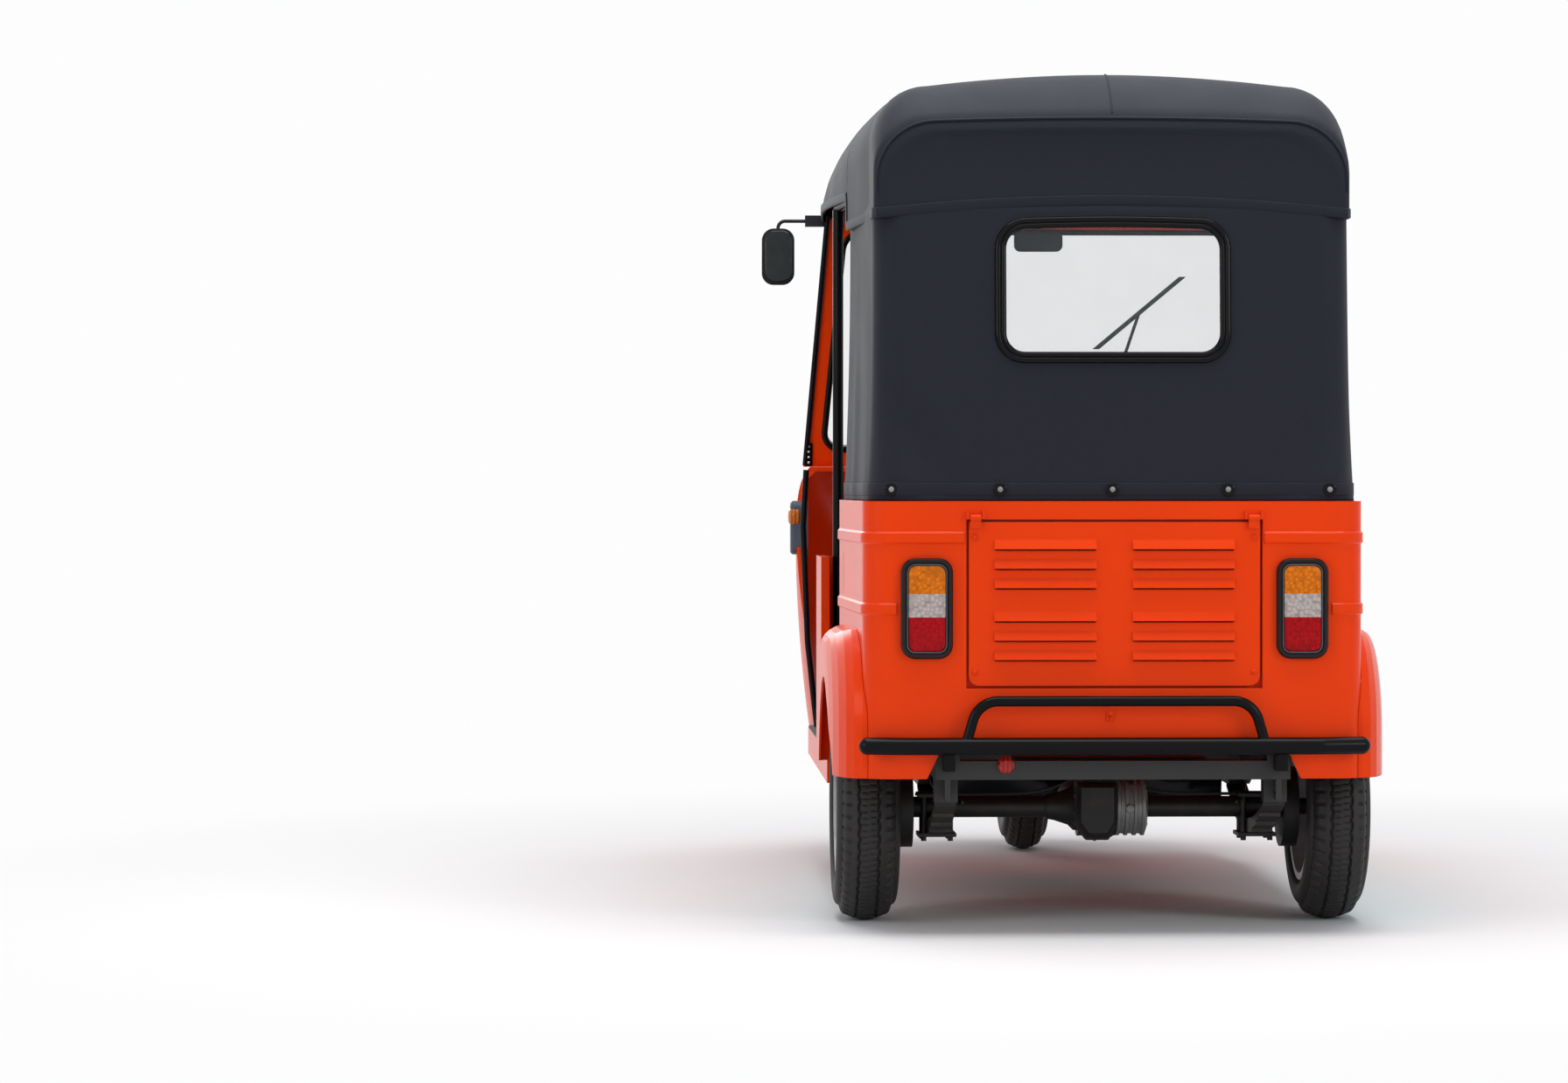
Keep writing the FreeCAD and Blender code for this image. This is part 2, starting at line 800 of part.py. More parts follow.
def fender_section(body, level, draw, inset):
    """Side view of the right fender at one level, drawn in by a share: upright legs and round shoulders."""
    bottom = "skirt_bottom_height" if inset == "0" else "skirt_bottom_height - cut_overrun"
    top = f"(fender_top_height - fender_crown_drop * {draw} - {inset})"
    rear = f"(rear_axle - fender_rear_reach + fender_rear_taper * {draw} + {inset})"
    front = f"(body_front - fender_front_taper * {draw} - {inset})"
    back = f"(fender_rear_shoulder - {inset})"
    fore = f"(fender_front_shoulder - {inset})"
    return draw_loop(
        new_sketch(body, "YZ", level),
        (rear, bottom),
        (front, bottom),
        (front, f"{top} - {fore}"),
        ((f"{front} - {fore} * arc_share", f"{top} - {fore} * arc_share"), (f"{front} - {fore}", top)),
        (f"{rear} + {back}", top),
        ((f"{rear} + {back} * arc_share", f"{top} - {back} * arc_share"), (rear, f"{top} - {back}")))


def fender_form(name, inset):
    """Closed form of the right fender: crown and rear draw in towards its outer side as a quarter ellipse."""
    body = new_body(name)
    root = "body_half_width - cut_overrun" if inset == "0" else "body_half_width - 2 * cut_overrun"
    sections = [fender_section(body, root, "0", inset)]
    for step in range(FENDER_STEPS + 1):
        turn = f"90 * {step} / {FENDER_STEPS}"
        level = f"body_half_width + (fender_half_width - body_half_width - {inset}) * sin({turn})"
        sections.append(fender_section(body, level, f"(1 - cos({turn}))", inset))
    loft(body, "Additive", sections, True)
    return body


def build_fender(name):
    """Hollow fender, open at the bottom, towards the body and round the wheel."""
    shell = cut(name + "Shell", fender_form(name + "Outer", "0"), fender_form(name + "Inner", "fender_wall"))
    arch = rod(name + "Arch", "x", "wheel_arch_radius",
               ("body_half_width - 2 * cut_overrun", "rear_axle", "tyre_radius"),
               "fender_half_width - body_half_width + 3 * cut_overrun")
    core = new_body(name + "Core")
    pad_between(core, "XY", "skirt_bottom_height - cut_overrun", "fender_top_height + cut_overrun",
                *rear_body_plan("(0 - seat_gap)", "body_front"))
    return cut(name, cut(name + "Open", shell, arch), core)


def build_lid():
    body = new_body("RearLid")
    outline = rectangle(("-lid_width / 2", "lid_bottom_height"), ("lid_width / 2", "lid_top_height"))
    pad_between(body, "XZ", "rear_face", "rear_face + lid_thickness", *outline)
    floor = number("lid_bottom_height") + number("lid_corner_radius")
    sideways = along(Vector(0, 1, 0))
    round_edges(body, "lid_corner_radius", lambda mid, edge: sideways(mid, edge) and mid.z < floor)
    cut_between(body, "XZ", "rear_face + lid_skin", "rear_face + lid_thickness + cut_overrun",
                *rectangle(("-lid_width / 2 + lid_thickness", "lid_bottom_height + lid_thickness"),
                           ("lid_width / 2 - lid_thickness", "lid_top_height - lid_thickness")))
    for side in (-1, 1):
        for group in range(2):
            add_louvres(body, side, group)
    return body


def add_louvres(body, side, group):
    """Press three louvres: a hooded wedge that opens downward over its slot, repeated at the pitch."""
    first = f"{side} * louvre_column_gap / 2"
    last = f"{side} * (louvre_column_gap / 2 + louvre_length)"
    low, high = (first, last) if side > 0 else (last, first)
    top = f"lid_top_height - louvre_top_margin - {group} * (2 * louvre_pitch + louvre_group_gap)"
    base = f"{top} - louvre_height"
    hood = pad_between(body, "YZ", low, high,
                       ("rear_face + lid_skin / 2", top),
                       ("rear_face - louvre_depth", base),
                       ("rear_face + lid_skin / 2", base))
    slot = cut_between(body, "YZ", f"{low} + louvre_skin", f"{high} - louvre_skin",
                       ("rear_face + lid_skin * 2", f"{top} - 2 * louvre_skin"),
                       ("rear_face", f"{top} - 2 * louvre_skin"),
                       ("rear_face - louvre_depth + louvre_skin", f"{base} - louvre_skin"),
                       ("rear_face + lid_skin * 2", f"{base} - louvre_skin"))
    pattern = body.newObject("PartDesign::LinearPattern", "LouvreRow")
    pattern.Originals = [hood, slot]
    pattern.Direction = (hood.Profile[0], ["V_Axis"])
    pattern.Reversed = True
    pattern.Occurrences = 3
    bind(pattern, "Length", "2 * louvre_pitch")
    body.Tip = pattern
    doc.recompute()


def build_lid_with_hinges():
    plate = build_lid()
    barrels = []
    for side in (-1, 1):
        start = f"{side} * hinge_spacing / 2 - hinge_barrel_length / 2"
        barrel = rod("LidBarrel", "x", "hinge_barrel_radius",
                     (start, "hinge_line", "hinge_height"), "hinge_barrel_length")
        across = (start, f"{start} + hinge_barrel_length")
        strap = box("LidStrap", across, ("hinge_line - lid_skin / 2", "hinge_line + lid_skin / 2"),
                    ("lid_top_height - lid_thickness", "hinge_height"))
        foot = box("LidFoot", across, ("hinge_line", "rear_face + lid_skin"),
                   ("lid_top_height - lid_thickness", "lid_top_height - lid_skin"))
        barrels += [barrel, strap, foot]
    bores = [rod("LidBore", "x", "hinge_pin_radius + hinge_clearance",
                 (f"{side} * hinge_spacing / 2 - hinge_barrel_length", "hinge_line", "hinge_height"),
                 "2 * hinge_barrel_length") for side in (-1, 1)]
    solid = fuse("LidSolid", [plate] + barrels)
    return keep(cut("LidNode", solid, fuse("LidBores", bores)), "rear_lid")


def build_lid_hinges():
    """Two brackets on the rear wall, each a pair of lugs with a pin through the lid's barrel."""
    brackets = []
    for side in (-1, 1):
        middle = f"{side} * hinge_spacing / 2"
        pieces = [rod("HingePin", "x", "hinge_pin_radius",
                      (f"{middle} - hinge_barrel_length / 2 - hinge_lug_width", "hinge_line", "hinge_height"),
                      "hinge_barrel_length + 2 * hinge_lug_width")]
        for end in (-1, 1):
            inner = f"{middle} + {end} * (hinge_barrel_length / 2 + hinge_pin_radius / 2)"
            outer = f"{middle} + {end} * (hinge_barrel_length / 2 + hinge_lug_width)"
            span = (inner, outer) if end > 0 else (outer, inner)
            pieces.append(box("HingeLug", span, ("hinge_line - hinge_pin_radius", "rear_face"),
                              ("hinge_height - hinge_pin_radius", "hinge_height + 2 * hinge_barrel_radius")))
        brackets.append(fuse("HingeBracket", pieces))
    return brackets


def build_tail_lamps():
    def bezel(name):
        low = ("lamp_centre - lamp_width / 2", "lamp_middle_height - lamp_height / 2")
        high = ("lamp_centre + lamp_width / 2", "lamp_middle_height + lamp_height / 2")
        body = slab(name, "rear_face - lamp_bezel_depth", "rear_face", low, high, "lamp_corner_radius")
        inner = rounded((f"{low[0]} + lamp_bezel_rim", f"{low[1]} + lamp_bezel_rim"),
                        (f"{high[0]} - lamp_bezel_rim", f"{high[1]} - lamp_bezel_rim"),
                        "lamp_corner_radius - lamp_bezel_rim / 2")
        cut_between(body, "XZ", "rear_face - lamp_bezel_depth - cut_overrun",
                    "rear_face - lamp_bezel_rim / 2", *inner)
        return body

    def lens(name):
        inset = "lamp_bezel_rim + seat_gap"
        low = (f"lamp_centre - lamp_width / 2 + {inset}", f"lamp_middle_height - lamp_height / 2 + {inset}")
        high = (f"lamp_centre + lamp_width / 2 - ({inset})",
                f"lamp_middle_height + lamp_height / 2 - ({inset})")
        body = slab(name, "rear_face - lamp_lens_depth", "rear_face - lamp_bezel_rim / 2 - seat_gap",
                    low, high, "lamp_corner_radius - lamp_bezel_rim / 2")
        round_edges(body, "lamp_bezel_rim / 2", at_depth("rear_face - lamp_lens_depth"))
        return body

    keep(both_sides("TailBezels", bezel), "tail_lamp_bezels")
    keep(both_sides("TailLenses", lens), "tail_lamp_lenses")


def build_bumper():
    sweep = "bumper_line + bumper_end_sweep"
    inner = "bumper_half_length - bumper_end_length"
    bar = tube_path("BumperBar", "bumper_radius", [
        ("-bumper_half_length", sweep, "bumper_height"),
        (f"-({inner})", "bumper_line", "bumper_height"),
        (inner, "bumper_line", "bumper_height"),
        ("bumper_half_length", sweep, "bumper_height")], "bumper_end_length / 2")
    hoop = tube_path("BumperHoop", "hoop_radius", [
        ("-hoop_half_width", "bumper_line", "bumper_height"),
        ("-(hoop_half_width - hoop_bend_radius / 2)", "bumper_line", "hoop_height"),
        ("hoop_half_width - hoop_bend_radius / 2", "bumper_line", "hoop_height"),
        ("hoop_half_width", "bumper_line", "bumper_height")], "hoop_bend_radius")
    top = "body_bottom_height - seat_gap"
    caps = [ball("BumperCap", "bumper_radius", (f"{side} * bumper_half_length", sweep, "bumper_height"))
            for side in (-1, 1)]
    stays = [box("BumperStay", (f"{side} * rail_spacing / 2 - bumper_stay_width / 2",
                                f"{side} * rail_spacing / 2 + bumper_stay_width / 2"),
                 ("bumper_line", "rail_rear - seat_gap"), (f"{top} - bumper_stay_drop", top))
             for side in (-1, 1)]
    return keep(fuse("BumperNode", [bar, hoop] + caps + stays), "rear_bumper")


# Underside

def build_chassis():
    """Two rails that rise over the axle, their cross members and the springs' rear hangers."""
    pieces = []
    kick = "rear_axle + rail_kick_start"
    for side in (-1, 1):
        body = new_body("Rail")
        low = f"{side} * rail_spacing / 2 - rail_width / 2"
        pad_between(body, "YZ", low, f"{low} + rail_width",
                    ("rail_rear", "rail_rear_height"),
                    (kick, "rail_rear_height"),
                    (f"{kick} + rail_kick_length", "rail_low"),
                    ("floor_front", "rail_low"),
                    ("floor_front", "rail_low + rail_height"),
                    (f"{kick} + rail_kick_length", "rail_low + rail_height"),
                    (kick, "rail_rear_height + rail_height"),
                    ("rail_rear", "rail_rear_height + rail_height"))
        hanger = "rear_axle - spring_half_length"
        pieces += [body, box("SpringHanger", (low, f"{low} + rail_width"),
                             (f"{hanger} - spring_hanger_length / 2", f"{hanger} + spring_hanger_length / 2"),
                             ("rail_low", "rail_rear_height"))]
    for start, base in (("rail_rear", "rail_rear_height"),
                        ("rear_axle + rail_kick_start - cross_member_length", "rail_rear_height"),
                        ("post_line - 2 * cross_member_length", "rail_low"),
                        ("floor_front - cross_member_length", "rail_low")):
        pieces.append(box("CrossMember", ("-rail_spacing / 2", "rail_spacing / 2"),
                          (start, f"{start} + cross_member_length"), (base, f"{base} + cross_member_height")))
    return pieces


def steering_point(distance):
    """Y and Z rules of a point on the steering axis, counted up from the height of the axle."""
    return (f"front_axle - steer_offset - ({distance}) * sin(rake_angle)",
            f"tyre_radius + ({distance}) * cos(rake_angle)")


def raked_rod(name, radius, x, low, high):
    """Make a cylinder along the steering axis between two distances from its foot."""
    cylinder = doc.addObject("Part::Cylinder", name)
    cylinder.Placement = Placement(Vector(), Rotation(Vector(1, 0, 0), number("rake_angle")))
    bind(cylinder, "Placement.Rotation.Angle", "rake_angle")
    bind(cylinder, "Radius", radius)
    bind(cylinder, "Height", f"({high}) - ({low})")
    y, z = steering_point(low)
    for letter, rule in zip("xyz", (x, y, z)):
        bind(cylinder, f"Placement.Base.{letter}", rule)
    return cylinder


def build_neck():
    """A bent box beam from the floor's front edge up to the head tube."""
    body = new_body("Neck")
    low_y, low_z = steering_point("head_tube_low")
    high_y, high_z = steering_point("head_tube_high")
    pad_between(body, "YZ", "-neck_width / 2", "neck_width / 2",
                ("floor_front - 2 * neck_height", "rail_low"),
                ("floor_front", "rail_low"),
                ("floor_front", f"{low_z} - stem_radius"),
                (low_y, low_z),
                (high_y, high_z),
                ("floor_front - neck_height", "floor_top_height + neck_height / 2"),
                ("floor_front - 2 * neck_height", "rail_low + cross_member_height"))
    return body


def build_frame():
    shell = raked_rod("HeadTube", "head_tube_radius", "0", "head_tube_low", "head_tube_high")
    bore = raked_rod("HeadBore", "stem_radius + stem_clearance", "0",
                     "head_tube_low - 2 * cut_overrun", "head_tube_high + cut_overrun")
    solid = fuse("FrameSolid", build_chassis() + build_tow_eyes() + [build_neck(), shell])
    return keep(cut("FrameNode", solid, bore), "chassis_frame")


def build_floor():
    body = new_body("Floor")
    rear = "body_front + seat_gap"
    pad_between(body, "XY", "floor_top_height - sill_height", "floor_top_height",
                *rectangle(("-floor_half_width", rear), ("floor_half_width", "floor_front")))
    cut_between(body, "XY", "floor_top_height - sill_height - cut_overrun",
                "floor_top_height - floor_thickness",
                *rectangle(("-(floor_half_width - sill_width)", "rear_axle"),
                           ("floor_half_width - sill_width", "floor_front + cut_overrun")))
    for half, low, high in (("engine_width / 2", "engine_rear", "engine_rear + engine_length"),
                            ("neck_width / 2", "floor_front - 2 * neck_height", "floor_front + cut_overrun")):
        wide = f"{half} + engine_clearance"
        corners = rectangle((f"-({wide})", f"{low} - engine_clearance"), (wide, f"{high} + engine_clearance"))
        cut_between(body, "XY", "floor_top_height - sill_height", "floor_top_height + cut_overrun", *corners)
    for side in (-1, 1):
        near = f"{side} * floor_toe_half_width"
        far = f"{side} * (floor_half_width + cut_overrun)"
        low, high = (far, near) if side < 0 else (near, far)
        cut_between(body, "XY", "floor_top_height - sill_height", "floor_top_height + cut_overrun",
                    *rectangle((low, "cowl_rear - seat_gap"), (high, "floor_front + cut_overrun")))
    return keep(body, "floor_pan")


def build_springs():
    """A stack of leaves slung under the axle at each side, with its plate, saddle and U-bolts."""
    solids = []
    for side in (-1, 1):
        middle = f"{side} * rail_spacing / 2"
        body = new_body("Spring")
        for leaf in range(int(number("spring_leaf_count"))):
            half = f"spring_half_length * (1 - {leaf} / (spring_leaf_count + 1))"
            rise = f"spring_camber * (1 - {leaf} / (spring_leaf_count + 1)) ^ 2"
            top = f"spring_seat - {leaf} * spring_leaf_thickness"
            base = f"{top} - spring_leaf_thickness"
            pad_between(body, "YZ", f"{middle} - spring_width / 2", f"{middle} + spring_width / 2",
                        (f"rear_axle - {half}", f"{base} + {rise}"),
                        (("rear_axle", base), (f"rear_axle + {half}", f"{base} + {rise}")),
                        (f"rear_axle + {half}", f"{top} + {rise}"),
                        (("rear_axle", top), (f"rear_axle - {half}", f"{top} + {rise}")))
        solids.append(fuse("SpringPack", [body] + spring_clamp(middle)))
    return keep(fuse("SpringNode", solids), "leaf_springs")


def spring_clamp(middle):
    """Plate under the leaves, saddle over the axle and the four bolt legs that clamp them."""
    foot = "spring_seat - spring_leaf_count * spring_leaf_thickness"
    crest = "tyre_radius + axle_tube_radius + seat_gap"
    across = (f"{middle} - spring_plate_width / 2", f"{middle} + spring_plate_width / 2")
    span = ("rear_axle - spring_plate_length / 2", "rear_axle + spring_plate_length / 2")
    pieces = [box("SpringPlate", across, span, (f"{foot} - spring_plate_thickness", foot)),
              box("SpringSaddle", across, span, (crest, f"{crest} + spring_plate_thickness"))]
    low = f"{foot} - spring_plate_thickness - u_bolt_tail"
    for x in (-1, 1):
        for y in (-1, 1):
            pieces.append(rod("BoltLeg", "z", "u_bolt_radius",
                              (f"{middle} + {x} * (spring_width / 2 + u_bolt_radius + seat_gap)",
                               f"rear_axle + {y} * (axle_tube_radius + 2 * u_bolt_radius)", low),
                              f"{crest} + spring_plate_thickness - ({low})"))
    return pieces


def build_rear_axle():
    inner = "half_track - rear_tyre_width / 2"
    tube = rod("AxleTube", "x", "axle_tube_radius", (f"-({inner})", "rear_axle", "tyre_radius"),
               f"2 * ({inner})")
    spindles = rod("AxleSpindles", "x", "spindle_radius",
                   ("-(half_track + hub_length / 2)", "rear_axle", "tyre_radius"),
                   "2 * (half_track + hub_length / 2)")
    housing = rod("Differential", "x", "differential_radius",
                  ("-differential_half_width", "rear_axle", "tyre_radius"), "2 * differential_half_width")
    casting = rod("AxleCasting", "x", "casting_radius",
                  ("differential_half_width", "rear_axle", "tyre_radius"), "casting_length")
    nose = rod("PinionNose", "y", "differential_radius / 2", ("0", "rear_axle", "tyre_radius"),
               "differential_radius + differential_length")
    drums = [rod("Drum", "x", "drum_radius",
                 (f"{side} * ({inner}) - {(1 + side) // 2} * drum_width", "rear_axle", "tyre_radius"),
                 "drum_width") for side in (-1, 1)]
    return keep(fuse("AxleNode", [tube, spindles, housing, casting, nose] + drums), "rear_axle")


def build_driveline():
    start = "rear_axle + differential_radius + differential_length + seat_gap"
    keep(rod("Propshaft", "y", "propshaft_radius", ("0", start, "tyre_radius"),
             f"engine_rear - seat_gap - ({start})"), "propshaft")
    keep(box("Engine", ("-engine_width / 2", "engine_width / 2"),
             ("engine_rear", "engine_rear + engine_length"),
             ("engine_bottom_height", "engine_top_height")), "engine_block")
    rear = "rail_rear + cross_member_length + seat_gap"
    keep(box("ServiceBox", ("-service_box_width / 2", "service_box_width / 2"),
             (rear, f"{rear} + service_box_length"),
             ("rail_rear_height", "rail_rear_height + service_box_height")), "service_box")


def build_tow_eyes():
    """Two drilled plates under the rails' rear ends."""
    plates = []
    for side in (-1, 1):
        middle = f"{side} * rail_spacing / 2"
        rear = "rail_rear + seat_gap"
        plate = box("TowPlate", (f"{middle} - tow_eye_thickness / 2", f"{middle} + tow_eye_thickness / 2"),
                    (rear, f"{rear} + tow_eye_plate"),
                    ("rail_rear_height - tow_eye_plate", "rail_rear_height"))
        hole = rod("TowHole", "x", "tow_eye_radius",
                   (f"{middle} - tow_eye_thickness", f"{rear} + tow_eye_plate / 2",
                    "rail_rear_height - tow_eye_plate / 2"), "2 * tow_eye_thickness")
        plates.append(cut("TowEye", plate, hole))
    return plates


# Wheels

def build_wheel(tyre_label, rim_label, x, width, name):
    """One tyre and its rim, revolved about the axle line."""
    for label, outline in ((tyre_label, tyre_outline(x, width)), (rim_label, rim_outline(x, width))):
        body = new_body(name + label.split("_")[-1])
        sketch = draw_loop(new_sketch(body, "XY", "tyre_radius"), *outline)
        turned = body.newObject("PartDesign::Revolution", "Revolution")
        turned.Profile = sketch
        turned.Angle = 360
        turned.ReferenceAxis = (wheel_axis(body, "rear_axle" if "rear" in label else "front_axle"), ["Edge1"])
        doc.recompute()
        if label == rim_label:
            drill_disc(body, x, "rear_axle" if "rear" in label else "front_axle")
        keep(body, label)


DISC_HOLES = 8


def drill_disc(body, x, axle):
    """Cut the ring of holes through the wheel's disc."""
    holes = new_sketch(body, "YZ", f"{x} + hub_length")
    for index in range(DISC_HOLES):
        turn = f"360 * {index} / {DISC_HOLES}"
        draw_circle(holes, (f"{axle} + disc_hole_circle * cos({turn})",
                            f"tyre_radius + disc_hole_circle * sin({turn})"), "disc_hole_radius")
    pocket(body, holes, "2 * hub_length")


def wheel_axis(body, axle):
    """A construction line along the wheel's own axle."""
    sketch = new_sketch(body, "XY", "tyre_radius")
    edge = sketch.addGeometry(Part.LineSegment(spot(("0", axle)), spot(("tyre_radius", axle))))
    fix_point(sketch, edge, 1, ("0", axle))
    fix_point(sketch, edge, 2, ("tyre_radius", axle))
    return sketch


def tyre_outline(x, width):
    axle = "front_axle" if width == "front_tyre_width" else "rear_axle"
    half = f"{width} / 2"
    seat = f"{axle} + rim_seat_radius + seat_gap"
    return [
        (f"{x} - {half} + rim_bead_width", seat),
        (f"{x} + {half} - rim_bead_width", seat),
        (f"{x} + {half} - rim_bead_width", f"{seat} + rim_flange_height"),
        ((f"{x} + {half}", f"{axle} + (tyre_radius + rim_seat_radius) / 2"),
         (f"{x} + {half} - rim_bead_width", f"{axle} + tyre_radius - rim_bead_width")),
        ((f"{x}", f"{axle} + tyre_radius"),
         (f"{x} - {half} + rim_bead_width", f"{axle} + tyre_radius - rim_bead_width")),
        ((f"{x} - {half}", f"{axle} + (tyre_radius + rim_seat_radius) / 2"),
         (f"{x} - {half} + rim_bead_width", f"{seat} + rim_flange_height")),
    ]


def rim_outline(x, width):
    """Rim barrel, disc and hub in one half section."""
    axle = "front_axle" if width == "front_tyre_width" else "rear_axle"
    side = "-1" if x.startswith("-") else "1"
    half = f"({width} / 2 - rim_bead_width + seat_gap)"
    seat = f"{axle} + rim_seat_radius"
    bore = f"{axle} + spindle_radius + spindle_clearance"
    disc = f"{x} + {side} * wheel_disc_offset"
    return [
        (f"{x} - {half} - rim_wall", f"{seat} + rim_flange_height - rim_wall"),
        (f"{x} - {half} - rim_wall", f"{seat} - rim_wall"),
        (f"{disc} - rim_wall / 2", f"{seat} - rim_wall"),
        (f"{disc} - rim_wall / 2", f"{axle} + hub_radius"),
        (f"{x} - hub_length / 2", f"{axle} + hub_radius"),
        (f"{x} - hub_length / 2", bore),
        (f"{x} + hub_length / 2", bore),
        (f"{x} + hub_length / 2", f"{axle} + hub_radius"),
        (f"{disc} + rim_wall / 2", f"{axle} + hub_radius"),
        (f"{disc} + rim_wall / 2", f"{seat} - rim_wall"),
        (f"{x} + {half} + rim_wall", f"{seat} - rim_wall"),
        (f"{x} + {half} + rim_wall", f"{seat} + rim_flange_height - rim_wall"),
        (f"{x} + {half}", f"{seat} + rim_flange_height - rim_wall"),
        (f"{x} + {half}", seat),
        (f"{x} - {half}", seat),
        (f"{x} - {half}", f"{seat} + rim_flange_height - rim_wall"),
    ]


# Steering

def build_fork():
    """Stem, crown, two legs and the leading links that carry the front axle."""
    pieces = [raked_rod("Stem", "stem_radius", "0", "crown_distance", "stem_top_distance")]
    foot_y, foot_z = steering_point("0")
    for side in (-1, 1):
        middle = f"{side} * fork_leg_spacing / 2"
        pieces.append(raked_rod("ForkLeg", "fork_leg_radius", middle, "0", "crown_distance + crown_height"))
        link = new_body("ForkLink")
        pad_between(link, "YZ", f"{middle} - link_thickness / 2", f"{middle} + link_thickness / 2",
                    (f"{foot_y} - link_height / 2", f"{foot_z} - link_height / 2"),
                    ("front_axle + link_height / 2", "tyre_radius - link_height / 2"),
                    ("front_axle + link_height / 2", "tyre_radius + link_height / 2"),
                    (f"{foot_y} - link_height / 2", f"{foot_z} + link_height / 2"))
        pieces.append(link)
    crown_y, crown_z = steering_point("crown_distance")
    pieces.append(box("Crown", ("-fork_leg_spacing / 2", "fork_leg_spacing / 2"),
                      (f"{crown_y} - crown_depth / 2", f"{crown_y} + crown_depth / 2"),
                      (crown_z, f"{crown_z} + crown_height")))
    pieces.append(rod("FrontAxle", "x", "spindle_radius",
                      ("-fork_leg_spacing / 2", "front_axle", "tyre_radius"), "fork_leg_spacing"))
    return keep(fuse("ForkNode", pieces), "front_fork")


def build_mudguard():
    """An arched sheet over the tyre with turned-down edges."""
    outer = rod("GuardOuter", "x", "mudguard_radius", ("-mudguard_width / 2", "front_axle", "tyre_radius"),
                "mudguard_width")
    inner = rod("GuardInner", "x", "mudguard_radius - mudguard_wall",
                ("-mudguard_width / 2 + mudguard_wall", "front_axle", "tyre_radius"),
                "mudguard_width - 2 * mudguard_wall")
    core = rod("GuardCore", "x", "mudguard_radius - mudguard_edge_depth",
               ("-mudguard_width", "front_axle", "tyre_radius"), "2 * mudguard_width")
    sheet_ring = cut("GuardRing", cut("GuardHollow", outer, inner), core)
    keeper = box("GuardKeep", ("-mudguard_width", "mudguard_width"),
                 ("front_axle - mudguard_radius - cut_overrun", "front_axle + mudguard_radius + cut_overrun"),
                 ("tyre_radius", "tyre_radius + mudguard_radius + cut_overrun"))
    half = doc.addObject("Part::Common", "GuardHalf")
    half.Base = sheet_ring
    half.Tool = keeper
    return keep(half, "front_mudguard")


def handlebar_points():
    y, z = steering_point("stem_top_distance + handlebar_radius")
    end_y = f"{y} - handlebar_sweep"
    knee_y = f"{end_y} + grip_length / 4"
    high = f"{z} + handlebar_rise"
    return [
        ("-handlebar_half_width", end_y, high),
        ("-(handlebar_half_width - grip_length)", knee_y, high),
        ("-handlebar_clamp_half_width", y, z),
        ("handlebar_clamp_half_width", y, z),
        ("handlebar_half_width - grip_length", knee_y, high),
        ("handlebar_half_width", end_y, high),
    ]


def build_handlebar():
    points = handlebar_points()
    bar = keep(tube_path("Handlebar", "handlebar_radius", points, "2 * handlebar_radius"), "handlebar")
    grips = [tube_path("Grip", "grip_radius", ends, "grip_radius") for ends in (points[:2], points[-2:])]
    return keep(cut("GripNode", fuse("GripPair", grips), bar), "handlebar_grips")


# Front body

COWL_LEVELS = [
    ("cowl_bottom_height", "cowl_low_half_width", "cowl_low_nose_reach"),
    ("cowl_waist_height", "cowl_waist_half_width", "cowl_nose_reach"),
    ("cowl_wide_height", "cowl_half_width", "cowl_shoulder_nose_reach"),
    ("cowl_top_height", "cowl_top_half_width", "cowl_top_nose_reach"),
]


def cowl_plan(half_width, nose, inset, rear):
    """Plan outline of the cowl at one height: straight back edge, then a curve round the nose."""
    half = f"({half_width} - {inset})"
    tip = f"(rear_axle + {nose} - {inset})"
    length = f"({tip} - cowl_rear)"
    shoulder_x = f"{half} * cowl_shoulder_width_share"
    shoulder_y = f"cowl_rear + {length} * cowl_shoulder_length_share"
    flank_x = f"{half} * cowl_flank_width_share"
    flank_y = f"cowl_rear + {length} * cowl_flank_length_share"
    return [
        (f"-{half}", rear),
        (half, rear),
        ((flank_x, flank_y), (shoulder_x, shoulder_y)),
        (("0", tip), (f"-{shoulder_x}", shoulder_y)),
        ((f"-{flank_x}", flank_y), (f"-{half}", rear)),
    ]


def cowl_sections(body, inset, rear):
    """Plan sections of the cowl from its lower edge to its top, moved in by an inset."""
    sketches = []
    for index, (height, half_width, nose) in enumerate(COWL_LEVELS):
        level = height
        if inset != "0" and index == 0:
            level = f"{height} - cut_overrun"
        if inset != "0" and index == len(COWL_LEVELS) - 1:
            level = f"{height} - {inset}"
        steps = cowl_plan(half_width, nose, inset, rear)[1:]
        sketches.append(draw_loop(new_sketch(body, "XY", level), *steps))
    return sketches


